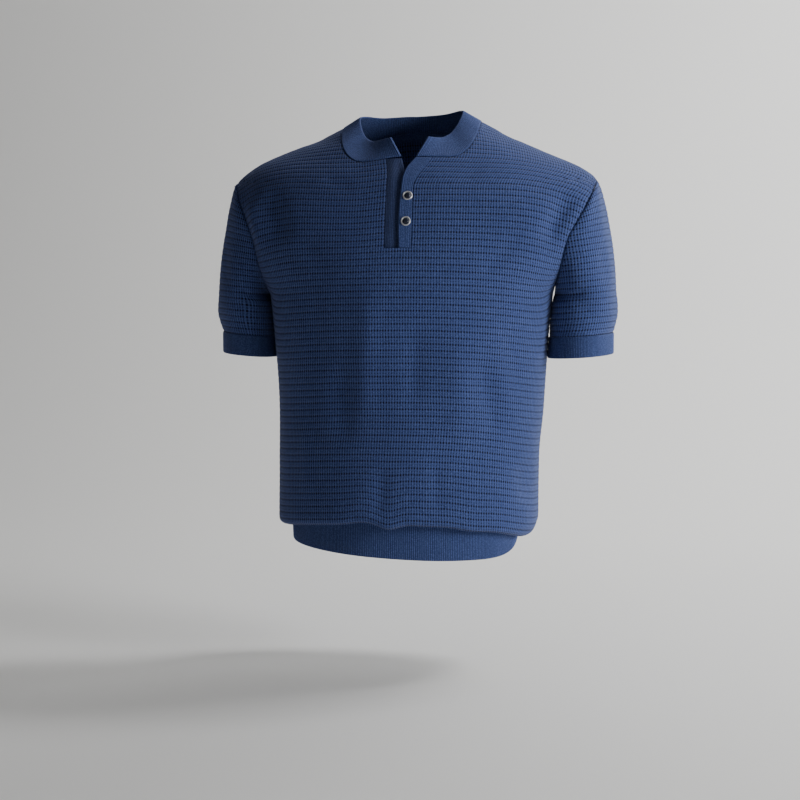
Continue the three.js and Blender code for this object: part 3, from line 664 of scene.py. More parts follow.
def new_ids(rows: int, columns: int) -> Array:
    """Numbers the points of a grid."""
    return np.arange(rows * columns).reshape(rows, columns)


def shell(name: str, grid: Grid, form: BodyForm, crease_angle: float = 70) -> bpy.types.Object:
    """Makes a closed shell from a grid's outer and inner sheets.

    Args:
        name: the new object's name.
        grid: the sheet.
        form: the body, whose stance the points take.
        crease_angle: edges that turn more than this many degrees stay sharp.

    Returns:
        The object, with the knit's coordinates in a UV map and its distance to the rim in an attribute.
    """
    count = grid.ids.size
    raw = new_ids(*grid.ids.shape)
    quads = np.stack([raw[:-1, :-1], raw[:-1, 1:], raw[1:, 1:], raw[1:, :-1]], -1)[grid.covered]
    held = grid.ids.ravel()
    outside = []
    for quad in quads.tolist():
        kept = [p for n, p in enumerate(quad) if held[p] != held[quad[n - 1]]]
        if len(kept) > 2:
            outside.append(kept)
    inside = [[p + count for p in reversed(face)] for face in outside]
    sides = [side for face in outside for side in zip(face, face[1:] + face[:1])]
    edges = {(int(held[a]), int(held[b])): (a, b) for a, b in sides}
    walls = [
        [ends[1], ends[0], ends[0] + count, ends[1] + count]
        for edge, ends in edges.items()
        if (edge[1], edge[0]) not in edges
    ]
    faces = outside + inside + walls
    corners = np.fromiter((p for face in faces for p in face), int)
    both = np.concatenate([held, held + count])
    used, index = np.unique(both[corners], return_inverse=True)
    points = np.concatenate([grid.outer.reshape(-1, 3), grid.inner.reshape(-1, 3)])
    points = form.posed(points[used]) * MILLIMETRE
    split = np.cumsum([len(face) for face in faces])[:-1]
    mesh = bpy.data.meshes.new(name)
    mesh.from_pydata(points, [], [part.tolist() for part in np.split(index, split)])
    uv = np.stack([np.tile(grid.u.ravel(), 2), np.tile(grid.v.ravel(), 2)], -1)[corners]
    mesh.uv_layers.new(name="Knit").data.foreach_set("uv", uv.ravel().astype(np.float32))
    rim = mesh.attributes.new("rim", "FLOAT", "POINT")
    rim.data.foreach_set("value", np.tile(grid.rim.ravel(), 2)[used].astype(np.float32))
    mesh.shade_smooth()
    thing = bpy.data.objects.new(name, mesh)
    bpy.context.scene.collection.objects.link(thing)
    bpy.ops.object.select_all(action="DESELECT")
    thing.select_set(True)
    bpy.context.view_layer.objects.active = thing
    bpy.ops.object.shade_smooth_by_angle(angle=math.radians(crease_angle))
    return thing


def arc_lengths(points: Array) -> Array:
    """Measures each row of points from its first point."""
    steps = np.linalg.norm(np.diff(points, axis=1), axis=-1)
    return np.concatenate([np.zeros((len(points), 1)), np.cumsum(steps, axis=1)], 1)


@dataclass
class Cloth:
    """A cut and sewn piece: which node it stands for, and its cut size."""

    node: str
    slot: str
    flat: tuple[float, float]
    hold: str = "draped"

    def finish(self, thing: bpy.types.Object, material: bpy.types.Material, area: float) -> None:
        """Dresses the piece and says what it is.

        Args:
            thing: the piece.
            material: its finish.
            area: its cloth's flat area in square metres.
        """
        thing.data.materials.append(material)
        if self.node:
            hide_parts(self.node)
        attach(thing, BODY)
        triangles = sum(len(face.vertices) - 2 for face in thing.data.polygons)
        share = area / (self.flat[0] * self.flat[1])
        words = "%s: %d triangles, cloth %.4f square metres, %.2f of its cut"
        log.info(words, thing.name, triangles, area, share)


@dataclass
class KnitProfile:
    """The relief of the ribbed knit: flat bands that meet in narrow grooves."""

    phases: tuple[float, ...] = (0.0, 0.13, 0.5, 0.87)
    heights: tuple[float, ...] = (-0.22, 0.2, 0.34, 0.2)
    backing: float = 2.2
    tuck: float = 0.5
    tuck_width: float = 2.4

    def rows(self, first: int, last: float) -> tuple[Array, Array]:
        """Lists the rows from one rib up to a height.

        Args:
            first: the first rib.
            last: the top, in ribs.

        Returns:
            The rows' places in ribs, and their relief.
        """
        ribs = np.arange(first, math.ceil(last))
        places = (ribs[:, None] + np.array(self.phases)).ravel()
        relief = np.tile(self.heights, len(ribs))
        kept = places < last - 0.06
        return np.append(places[kept], last), np.append(relief[kept], 0.0)

    def sheets(self, point: Array, normal: Array, relief: Array, rim: Array) -> tuple[Array, Array]:
        """Gives the outer and inner sheets, the outer one tucked down towards its rim.

        Args:
            point: the middle surface.
            normal: its normals.
            relief: how far each row stands out.
            rim: the distance of each point from the piece's edge.

        Returns:
            The outer and the inner points.
        """
        near = 1 - ease(rim / self.tuck_width)
        out = relief[:, None] * (1 - 0.6 * near) - self.tuck * near
        return point + normal * out[..., None], point - normal * self.backing


@dataclass
class BodyPanel(Cloth):
    """The front or the back of the body, with the neck and the placket's slot left out."""

    face: Face = Face.FRONT
    side_columns: int = 48
    neck_columns: int = 18
    slot_columns: int = 10
    profile: KnitProfile = field(default_factory=KnitProfile)

    def shares(self) -> tuple[Array, Array]:
        """Lists the columns.

        Returns:
            The block of each column, from the right edge to the left one, and its share across that block.
        """
        fine = np.array([0, 0.006, 0.016])
        side = np.concatenate([fine, np.linspace(0.034, 0.975, self.side_columns - 4), [0.99]])
        neck = np.concatenate([[0], np.linspace(0.025, 0.965, self.neck_columns - 2), [0.985]])
        slot = np.linspace(0, 1, self.slot_columns + 1)[:-1]
        far_neck, far_side = (np.concatenate([[0], 1 - part[:0:-1]]) for part in (neck, side))
        parts = [side, neck, slot, far_neck, far_side]
        block = np.concatenate([np.full(len(part), n) for n, part in enumerate(parts)] + [[4]])
        return block, np.concatenate(parts + [np.array([1.0])])

    def grid(self, form: BodyForm) -> Grid:
        """Lays out the panel's cloth.

        Args:
            form: the body.

        Returns:
            The panel as a grid.
        """
        front = self.face is Face.FRONT

        def under_x(z: Array) -> Any:
            return form.under_seam(z) - SEAM_GAP if front else form.under_seam_x

        def over_x(z: Array) -> Any:
            return form.over_seam(z) + 2 * SEAM_GAP if front else form.over_seam_x

        bounds = [
            lambda z: -form.section(self.face, z).edge,
            lambda z: -form.neck_angle(self.face, z),
            lambda z: form.angle_at(self.face, under_x(z), z),
            lambda z: form.angle_at(self.face, over_x(z), z),
            lambda z: form.neck_angle(self.face, z),
            lambda z: form.section(self.face, z).edge,
        ]
        block, share = self.shares()

        def angle_of(z: Array) -> Array:
            """Gives every column's section angle at heights."""
            at = [np.broadcast_to(bound(z), (z.shape[0], len(block))) for bound in bounds]
            low = np.select([block == n for n in range(5)], at[:5])
            high = np.select([block == n for n in range(5)], at[1:])
            return mix(low, high, share)

        top = float(form.ridge_height(self.face, form.neck_half)) - form.fold_height
        ribs, relief = self.profile.rows(-form.fold_ribs, top / RIB_PITCH)
        hung = ribs >= 0
        path = form.paths(self.face, angle_of, form.fold_height + ribs[hung] * RIB_PITCH)
        point, normal = self.turn_in(form, path, ribs[~hung])
        neck = form.neck_row(self.face) / 2
        slit = form.row_near(self.face, form.slit_bottom_z) / 2 if front else math.inf
        covered = self.covered(ribs, block, neck, slit)
        arc = arc_lengths(point)
        rim = self.rim(ribs, arc, block, neck, slit)
        ids = new_ids(*arc.shape)
        ids[-1, block == 0] = ids[-1, 0]
        ids[-1, block == 4] = ids[-1, -1]
        ids[-1, np.flatnonzero(block == 4)[0]] = ids[-1, -1]
        ids[-1, np.flatnonzero(block == 1)[0]] = ids[-1, 0]
        outer, inner = self.profile.sheets(point, normal, relief, rim)
        sewn = [np.flatnonzero(block == n)[0] for n in (2, 3)]
        u = self.stitches(arc, block[None], arc[:, [sewn[0]]], arc[:, [sewn[1]]])
        grid = Grid(point, normal, outer, inner, u, ribs[:, None] + 0 * arc, covered, ids, rim)
        return grid if front else self.reversed(grid)

    @staticmethod
    def stitches(arc: Array, block: Array, under: Array, over: Array) -> Array:
        """Counts the stitches along each row from the slot's right edge, a whole number across it."""
        wide = round(float(np.median(over - under)) / STITCH_PITCH)
        slot = (arc - under) / (over - under) * wide
        right, left = (arc - under) / STITCH_PITCH, (arc - over) / STITCH_PITCH + wide
        return np.where(block >= 3, left, np.where(block == 2, slot, right))

    @staticmethod
    def turn_in(form: BodyForm, path: Path, ribs: Array) -> tuple[Array, Array]:
        """Adds the rows that roll under and in over the hem, below a panel's hung rows.

        Args:
            form: the body.
            path: the hung rows.
            ribs: the places of the added rows, below 0.

        Returns:
            All the rows' points and normals.
        """
        level = path.normal[0] * np.array([1, 1, 0])
        level = level / np.linalg.norm(level, axis=-1, keepdims=True)
        turn = (-ribs * RIB_PITCH / form.fold_radius)[:, None, None]
        down = np.array([0, 0, 1.0])
        rolled = path.point[0] - level * form.fold_radius * (1 - np.cos(turn))
        rolled = rolled - down * form.fold_radius * np.sin(turn)
        normal = level * np.cos(turn) - down * np.sin(turn)
        return np.concatenate([rolled, path.point]), np.concatenate([normal, path.normal])

    @staticmethod
    def covered(ribs: Array, block: Array, neck: float, slit: float) -> Array:
        """Says which cells hold cloth: not those in the neck, nor in the placket's slot."""
        low = (ribs[:-1] + 1e-6)[:, None]
        cell = block[:-1][None]
        return ~(((low > slit) & (cell == 2)) | ((low > neck) & (cell >= 1) & (cell <= 3)))

    @staticmethod
    def rim(ribs: Array, arc: Array, block: Array, neck: float, slit: float) -> Array:
        """Measures how far each point lies from the panel's edge, along its row or up its column."""
        first = [np.flatnonzero(block == n)[0] for n in range(5)]
        far = np.full(arc.shape, FAR)
        ends = np.minimum(arc, arc[:, -1:] - arc)
        below = np.where((block >= 1) & (block <= 3), (neck - ribs)[:, None] * RIB_PITCH, far)
        neck_gap = np.minimum(np.abs(arc - arc[:, [first[1]]]), np.abs(arc - arc[:, [first[4]]]))
        neck_gap = np.where(ribs[:, None] >= neck - 1e-6, neck_gap, np.maximum(0, below))
        slot_gap = np.minimum(np.abs(arc - arc[:, [first[2]]]), np.abs(arc - arc[:, [first[3]]]))
        slot_low = np.where(block == 2, (slit - ribs)[:, None] * RIB_PITCH, far)
        slot_gap = np.where(ribs[:, None] >= slit - 1e-6, slot_gap, np.maximum(0, slot_low)) + SLOT_FIRMNESS
        hem = (ribs - ribs[0])[:, None] * RIB_PITCH + 0 * arc
        return np.minimum.reduce([ends, neck_gap, slot_gap, hem])

    @staticmethod
    def reversed(grid: Grid) -> Grid:
        """Gives the grid with its columns the other way: they then run right as seen from behind."""
        names = ("middle", "normal", "outer", "inner", "u", "v", "covered", "ids", "rim")
        return Grid(**{name: getattr(grid, name)[:, ::-1] for name in names})


@dataclass(frozen=True)
class SleeveForm:
    """The left sleeve's surface: an oval tube below the armpit, and a cap that ends on the armhole above."""

    body: BodyForm
    ribs: int = 25
    tube_ribs: int = 7
    cuff_seam_z: float = -285
    cuff_tilt: float = 0.07
    cuff_middle_x: float = 222
    y: float = 26
    half_depth: float = 61
    tube_half_depth: float = 63
    inner_x: float = 182.2
    bulge: float = 37
    turned: float = 0.16
    crease_girth: float = 330
    crease_length: float = 206
    crease_shift: float = 0.035

    @property
    def tube_share(self) -> float:
        """The share of the sleeve that is a whole tube."""
        return self.tube_ribs / self.ribs

    def height(self, share: Any) -> Array:
        """Gives the outermost line's height, by share of its length from cuff to shoulder tip."""
        z = np.arange(SLEEVE_OUTLINE[-1].z, self.body.tip_z + 0.5, 1.0)
        x = Curve(SLEEVE_OUTLINE, "z", "x")(z)
        length = np.concatenate([[0], np.cumsum(np.hypot(np.diff(x), np.diff(z)))])
        return np.interp(np.asarray(share) * length[-1], length, z)

    def place(self, share: Array, turn: Array) -> Array:
        """Gives points of the left sleeve.

        Args:
            share: how far up they lie, from 0 at the cuff seam to 1 at the shoulder tip.
            turn: how far round, from 0 at a row's front end over the outside to 1 at its back end.

        Returns:
            The points.
        """
        body = self.body
        share, turn = np.broadcast_arrays(np.asarray(share, float), np.asarray(turn, float))
        out_z = self.height(share)
        out_x = Curve(SLEEVE_OUTLINE, "z", "x")(out_z)
        tube = share < self.tube_share
        rise = np.clip(share / self.tube_share, 0, 1)
        cuff_z = self.cuff_seam_z + (self.inner_x - self.cuff_middle_x) * self.cuff_tilt
        up = np.clip((share - self.tube_share) / (1 - self.tube_share), 0, 1)
        split = float(self.height(self.tube_share)) - body.armpit_z
        end_z = out_z - (split + 7 * up) * (1 - up**24)
        angle = np.arccos(np.clip((end_z - body.armhole_middle) / body.armhole_half, -1, 1))
        reach = body.armhole_half_depth * np.sin(angle)
        below = ease((angle - np.pi / 2) / (np.pi / 2))
        wide = np.maximum(reach, mix(body.armhole_half_depth, self.tube_half_depth, below))
        opened = np.where(angle > np.pi / 2, np.arccos(np.clip(reach / wide, -1, 1)), 0)
        half_depth = np.where(opened > 0, wide, reach)
        end_z = np.where(tube, mix(cuff_z, body.armpit_z, rise), end_z)
        clear = mix(self.inner_x - body.outline_x(cuff_z), self.stand_off(np.pi), rise)
        end_x = body.outline_x(end_z) + np.where(tube, clear, self.stand_off(angle))
        opened = np.where(tube, np.pi / 2, opened)
        half_depth = np.where(tube, mix(self.half_depth, self.tube_half_depth, ease(rise)), half_depth)
        y = np.where(tube, mix(self.y, body.armhole_y, ease(rise)), body.armhole_y)
        round_ = mix(-opened, np.pi + opened, turn)
        centre = end_x + self.bulge * np.sin(opened)
        across = np.sin(round_)
        x = centre + across * np.where(across > 0, out_x - centre, self.bulge)
        turned = self.turned * np.maximum(0, -across) * ease((1 - rise) / 0.2)
        turned = turned * mix(0.5, 1, ease(rise / 0.4))
        x = x + turned * np.where(tube, -half_depth * np.cos(round_), 0)
        climb = (x - end_x) / np.maximum(0.1, out_x - end_x)
        return np.stack([x, y - half_depth * np.cos(round_), mix(end_z, out_z, climb)], -1)

    @staticmethod
    def stand_off(angle: Any) -> Any:
        """Gives how far the sleeve's edge stands off the body's, by the turn round the armhole."""
        return 0.35 + 1.05 * ((1 - np.cos(angle)) / 2) ** 2

    def normal(self, share: Array, turn: Array) -> Array:
        """Gives the outward normals of points of the left sleeve."""
        share, turn = np.broadcast_arrays(np.asarray(share, float), np.asarray(turn, float))
        tube = share <= self.tube_share
        step = np.where(share < self.tube_share + 0.02, 0.02, 0.03)
        ahead, behind = np.minimum(1, turn + step), np.maximum(0, turn - step)
        around = self.place(share, ahead) - self.place(share, behind)
        square = tube & ((turn < 0.001) | (turn > 0.999))
        around = np.where(square[..., None], np.array([0, -1.0, 0]), around)
        up = self.place(np.minimum(1, share + 0.012), turn) - self.place(np.maximum(0, share - 0.012), turn)
        normal = np.cross(around, up)
        normal = np.where((share > 0.999)[..., None], np.array([0.6, 0, 0.8]), normal)
        return normal / np.linalg.norm(normal, axis=-1, keepdims=True)

    def crease_depth(self, share: Array, turn: Array, side: Side) -> Array:
        """Gives how far the creases move points out, a little differently on each side."""
        share, turn = np.broadcast_arrays(np.asarray(share, float), np.asarray(turn, float))
        total = np.zeros(share.shape)
        shift = 0.0 if side is Side.LEFT else self.crease_shift
        girth, tall = self.crease_girth, self.crease_length
        for c in SLEEVE_CREASES:
            start = (c.turn0 + shift) * girth, c.share0 * tall
            end = (c.turn1 - shift) * girth, c.share1 * tall
            total += crease_lift((turn * girth, share * tall), start, end, c.width, c.depth)
        waves = np.sin(2 * np.pi * turn * 5 + share * 6 + side.value) * np.sin(np.pi * turn)
        return total + 0.4 * waves * ease(share / 0.06)


@dataclass
class Sleeve(Cloth):
    """One sleeve, ribbed as the body is."""

    side: Side = Side.LEFT
    columns: int = 120
    profile: KnitProfile = field(default_factory=KnitProfile)

    def grid(self, form: SleeveForm) -> Grid:
        """Lays out the sleeve's cloth.

        Args:
            form: the left sleeve's surface.

        Returns:
            The sleeve as a grid.
        """
        ribs, relief = self.profile.rows(0, form.ribs)
        share = (ribs / form.ribs)[:, None]
        fine = np.array([0, 0.004, 0.01])
        turn = np.concatenate([fine, np.linspace(0.018, 0.982, self.columns - 6), 1 - fine[::-1]])[None]
        point, normal = form.place(share, turn), form.normal(share, turn)
        tube = share < form.tube_share - 1e-6
        ends = np.where(tube, 1.0, ease(np.minimum(turn, 1 - turn) / 0.05))
        calm = ends * ease(share / 0.03) * ease((1 - share) / 0.1)
        point = point + normal * (form.crease_depth(share, turn, self.side) * calm)[..., None]
        point[-1] = point[-1, 0]
        arc = arc_lengths(point)
        rim = np.where(tube, FAR, np.minimum(arc, arc[:, -1:] - arc))
        rim = np.minimum(rim, (ribs * RIB_PITCH)[:, None])
        outer, inner = self.profile.sheets(point, normal, relief, rim)
        ids = new_ids(*arc.shape)
        whole = share[:, 0] <= form.tube_share + 1e-6
        ids[whole, -1] = ids[whole, 0]
        ids[-1] = ids[-1, 0]
        across = (arc - arc[:, [arc.shape[1] // 2]]) / STITCH_PITCH
        covered = np.ones((len(ribs) - 1, arc.shape[1] - 1), bool)
        grid = Grid(point, normal, outer, inner, across, ribs[:, None] + 0 * arc, covered, ids, rim)
        if self.side is Side.LEFT:
            return grid
        for part in (grid.middle, grid.normal, grid.outer, grid.inner):
            part[..., 0] *= -1
        return BodyPanel.reversed(grid)


@dataclass
class FineRib:
    """The relief of a one by one rib band: narrow upright ribs, with rounded edges all round."""

    pitch: float = FINE_PITCH
    samples: int = 4
    height: float = 0.34
    thickness: float = 1.7
    rounding: float = 1.1

    def columns(self, length: float) -> Array:
        """Lists the columns' shares along a band of a length."""
        return np.linspace(0, 1, self.samples * round(length / self.pitch) + 1)

    def sheets(self, point: Array, normal: Array, phase: Array, rim: Array) -> tuple[Array, Array]:
        """Gives the outer and inner sheets of a band.

        Args:
            point: the middle surface.
            normal: its normals.
            phase: each point's place along the band, in ribs.
            rim: the distance of each point from the band's edges.

        Returns:
            The outer and the inner points.
        """
        fullness = np.sqrt(np.clip(1 - np.square(1 - np.clip(rim / self.rounding, 0, 1)), 0.02, 1))
        crest = 0.5 + 0.5 * np.cos(2 * np.pi * phase)
        ribbed = ease(rim / 2.5)
        half = (self.thickness / 2 + self.height * crest * ribbed) * fullness
        return point + normal * half[..., None], point - normal * half[..., None]


def surface_normals(point: Array, ring: bool = False) -> Array:
    """Gives the normals of a grid of points, whose rows close on themselves on a ring."""
    across = np.gradient(point, axis=1)
    if ring:
        across[:, 0] = across[:, -1] = point[:, 1] - point[:, -2]
    normal = np.cross(across, np.gradient(point, axis=0))
    return normal / np.linalg.norm(normal, axis=-1, keepdims=True)


def band_heights(height: float, count: int) -> Array:
    """Lists heights up a band, close together at its rounded edges."""
    fine = np.array([0, 0.12, 0.4, 0.9, 1.8])
    return np.concatenate([fine, np.linspace(3.2, height - 3.2, count), height - fine[::-1]])


@dataclass
class Neckband(Cloth):
    """The rib band collar. Its ends roll over in two lines beside the neck opening."""

    half_width: float = 67
    centre_y: float = 14
    front: float = 66
    back: float = 52
    left_end: float = 0.41
    right_end: float = 0.3
    lift: float = 0.02
    length: float = 470
    height: float = 30
    rows: int = 12
    rib: FineRib = field(default_factory=FineRib)

    def neck_edge(self, form: BodyForm) -> tuple[Array, Array]:
        """Follows the body's neck edge from its front end on the left, round the back, to the other end.

        Args:
            form: the body.

        Returns:
            Points along the edge, and the body's normals there.
        """
        points, normals = [], []

        def quarter(face: Face, side: Side, start: float) -> tuple[Array, Array]:
            """Follows one quarter, from the middle up to the shoulder seam."""
            level = form.row_height(form.neck_row(face))
            x = mix(start, side.value * form.neck_bend_x, np.arange(12) / 12)
            flat = form.course_point(face, x, level)
            top = float(form.ridge_height(face, form.neck_half))
            heights = np.append(np.arange(level, top, 1.5), top)
            climb = form.paths(face, lambda z: side.value * form.neck_angle(face, z), heights)
            return (
                np.concatenate([flat.point[0], climb.point[:, 0]]),
                np.concatenate([flat.normal[0], climb.normal[:, 0]]),
            )

        starts = (
            (Face.FRONT, Side.LEFT, float(form.over_edge(form.front_neck_z)), 1),
            (Face.BACK, Side.LEFT, 0.0, -1),
            (Face.BACK, Side.RIGHT, 0.0, 1),
            (Face.FRONT, Side.RIGHT, float(form.under_edge(form.front_neck_z)), -1),
        )
        for face, side, start, way in starts:
            point, normal = quarter(face, side, start)
            cut = 1 if points else 0
            points.append(point[::way][cut:])
            normals.append(normal[::way][cut:])
        return np.concatenate(points), np.concatenate(normals)

    def top_edge(self, base: Array) -> Array:
        """Gives the band's top edge over points of its lower edge."""
        turn = np.arctan2(np.abs(base[:, 0]), self.centre_y - base[:, 1])
        start = np.where(base[:, 0] > 0, turn[0], turn[-1])
        opened = np.where(base[:, 0] > 0, self.left_end, self.right_end)
        lead = np.clip((turn - start) / (np.pi / 2 - start), 0, 1)
        turn = np.where(turn < np.pi / 2, mix(opened, np.pi / 2, lead), turn)
        reach = np.where(turn < np.pi / 2, self.front, self.back)
        x = np.sign(base[:, 0]) * self.half_width * np.sin(turn)
        z = Curve(COLLAR_TOP, "turn", "z")(np.degrees(turn))
        return np.stack([x, self.centre_y - reach * np.cos(turn), z], -1)

    def grid(self, form: BodyForm) -> Grid:
        """Lays out the band.

        Args:
            form: the body.

        Returns:
            The band as a grid.
        """
        edge, edge_normal = self.neck_edge(form)
        length = arc_lengths(edge[None])[0]
        share = self.rib.columns(self.length)
        place = share * length[-1]
        base = np.stack([np.interp(place, length, edge[:, n]) for n in range(3)], -1)
        lean = np.stack([np.interp(place, length, edge_normal[:, n]) for n in range(3)], -1)
        top = self.top_edge(base)
        up = (band_heights(self.height, self.rows) / self.height)[:, None, None]
        point = mix(base, top, mix(self.lift, 1, up))
        normal = surface_normals(point)
        held = np.clip(1 - 3 * up, 0, 1)
        normal = mix(normal, lean, held)
        normal = normal / np.linalg.norm(normal, axis=-1, keepdims=True)
        arc = arc_lengths(point)
        ends = np.minimum(arc, arc[:, -1:] - arc)
        tall = arc_lengths(point.transpose(1, 0, 2)).T
        rim = np.minimum(ends, np.minimum(tall, tall[-1] - tall))
        phase = share[None] * round(self.length / self.rib.pitch) + 0 * arc
        outer, inner = self.rib.sheets(point, normal, phase, rim)
        roll = 0.55 * (bell((ends - 2.0) / 1.0) + 0.8 * bell((ends - 5.2) / 1.1)) * ease(tall / 3)
        outer = outer + normal * roll[..., None]
        covered = np.ones((len(up) - 1, len(share) - 1), bool)
        return Grid(point, normal, outer, inner, phase, tall, covered, new_ids(*arc.shape), rim)


@dataclass
class PlacketStrip(Cloth):
    """One strip of the placket, plain, with a rolled free edge. left_free says which edge is free."""

    left_free: bool = True
    columns: int = 30
    rows: int = 150
    lift: float = -0.3
    thickness: float = 1.7
    rounding: float = 1.0

    def grid(self, form: BodyForm) -> Grid:
        """Lays out the strip.

        Args:
            form: the body.

        Returns:
            The strip as a grid.
        """
        face = Face.FRONT
        low = form.course_point(face, 0.0, form.row_height(form.row_near(face, form.slit_bottom_z))).z[0, 0]
        high = form.course_point(face, 12.0, form.row_height(form.neck_row(face))).z[0, 0]
        low, high = low + 2 * SEAM_GAP, high - 2 * SEAM_GAP
        z = low + band_heights(high - low, self.rows)[:, None]
        across = band_heights(100, self.columns - 10)[None] / 100
        left = form.over_edge(z) if self.left_free else form.under_seam(z)
        right = form.over_seam(z) if self.left_free else form.under_edge(z)
        x = mix(left, right, across)
        z = z + 0 * x
        angle = form.angle_at(face, x, z)
        normal = form.normal(face, angle, z)
        lift = self.lift if self.left_free else -1.5 - 1.4 * ease((x + 16) / 10)
        point = form.place(face, angle, z) + normal * (lift + 0 * x)[..., None]
        arc = arc_lengths(point)
        tall = arc_lengths(point.transpose(1, 0, 2)).T
        free = arc if self.left_free else arc[:, -1:] - arc
        sewn = arc[:, -1:] - arc if self.left_free else arc
        rim = np.minimum(np.minimum(free, sewn), np.minimum(tall, tall[-1] - tall))
        fullness = np.sqrt(np.clip(1 - np.square(1 - np.clip(rim / self.rounding, 0, 1)), 0.02, 1))
        roll = 0.45 * bell((free - 1.6) / 0.9) + 0.3 * bell((free - 4.4) / 0.8)
        line = 0.35 * bell((sewn - 2.2) / 0.7)
        half = self.thickness / 2 * fullness
        outer = point + normal * (half + (roll - line) * fullness)[..., None]
        inner = point - normal * half[..., None]
        covered = np.ones((z.shape[0] - 1, z.shape[1] - 1), bool)
        return Grid(point, normal, outer, inner, free / FINE_PITCH, tall, covered, new_ids(*arc.shape), rim)


@dataclass
class HemBand(Cloth):
    """Half of the rib hem, which hangs from the panel's turned-in edge."""

    face: Face = Face.FRONT
    bottom: float = -557
    tilt: float = 2.5
    front_dip: float = 11
    set_in: float = 17.4
    taper: float = 1.0
    half_wall: float = 1.1
    length: float = 430
    height: float = 36
    rows: int = 10
    rib: FineRib = field(default_factory=FineRib)

    def grid(self, form: BodyForm) -> Grid:
        """Lays out the band.

        Args:
            form: the body.

        Returns:
            The band as a grid.
        """
        out = 1 if self.face is Face.FRONT else -1
        along = self.rib.columns(self.length)
        share = out * mix(-1, 1, along)
        hung = form.paths(
            self.face, lambda z: share * form.section(self.face, z).edge, np.array([form.fold_height])
        )
        level = hung.normal[0] * np.array([1, 1, 0])
        level = level / np.linalg.norm(level, axis=-1, keepdims=True)
        up = (band_heights(self.height, self.rows) / self.height)[:, None]
        inward = self.set_in + self.half_wall + self.taper * (1 - up)
        point = hung.point[0] - level * inward[..., None]
        dip = self.front_dip * (1 - share**2) * (1 + 0.8 * share) if self.face is Face.FRONT else 0.0
        low = self.bottom - self.tilt * share - dip
        point[..., 2] = mix(low + 0 * up, hung.point[0][:, 2] + 0.5, up)
        normal = surface_normals(point)
        arc = arc_lengths(point)
        tall = arc_lengths(point.transpose(1, 0, 2)).T
        rim = np.minimum(np.minimum(arc, arc[:, -1:] - arc) + 0.6, np.minimum(tall, tall[-1] - tall))
        phase = along[None] * round(self.length / self.rib.pitch) + 0 * arc
        outer, inner = self.rib.sheets(point, normal, phase, rim)
        covered = np.ones((len(up) - 1, len(along) - 1), bool)
        return Grid(point, normal, outer, inner, phase, tall, covered, new_ids(*arc.shape), rim)


@dataclass
class Cuff(Cloth):
    """A sleeve's rib cuff, a closed ring."""

    side: Side = Side.LEFT
    height: float = 28
    tuck: float = 1.8
    length: float = 324
    rows: int = 9
    rib: FineRib = field(default_factory=FineRib)

    def grid(self, form: SleeveForm) -> Grid:
        """Lays out the ring.

        Args:
            form: the left sleeve's surface.

        Returns:
            The cuff as a grid.
        """
        along = self.rib.columns(self.length)
        seam = form.place(np.zeros(len(along)), along % 1.0)
        lowered = self.height - band_heights(self.height - SEAM_GAP, self.rows)
        point = seam[None] - lowered[:, None, None] * np.array([0, 0, 1.0])
        inner = np.maximum(0, (form.cuff_middle_x - point[..., 0]) / (form.cuff_middle_x - form.inner_x))
        point[..., 0] -= self.tuck * inner * (lowered / self.height)[:, None]
        normal = surface_normals(point, ring=True)
        arc = arc_lengths(point)
        tall = arc_lengths(point.transpose(1, 0, 2)).T
        rim = np.minimum(tall, tall[-1] - tall)
        phase = along[None] * round(self.length / self.rib.pitch) + 0 * arc
        outer, inner = self.rib.sheets(point, normal, phase, rim)
        ids = new_ids(*arc.shape)
        ids[:, -1] = ids[:, 0]
        covered = np.ones((len(lowered) - 1, len(along) - 1), bool)
        grid = Grid(point, normal, outer, inner, phase, tall, covered, ids, rim)
        if self.side is Side.LEFT:
            return grid
        for part in (grid.middle, grid.normal, grid.outer, grid.inner):
            part[..., 0] *= -1
        return BodyPanel.reversed(grid)


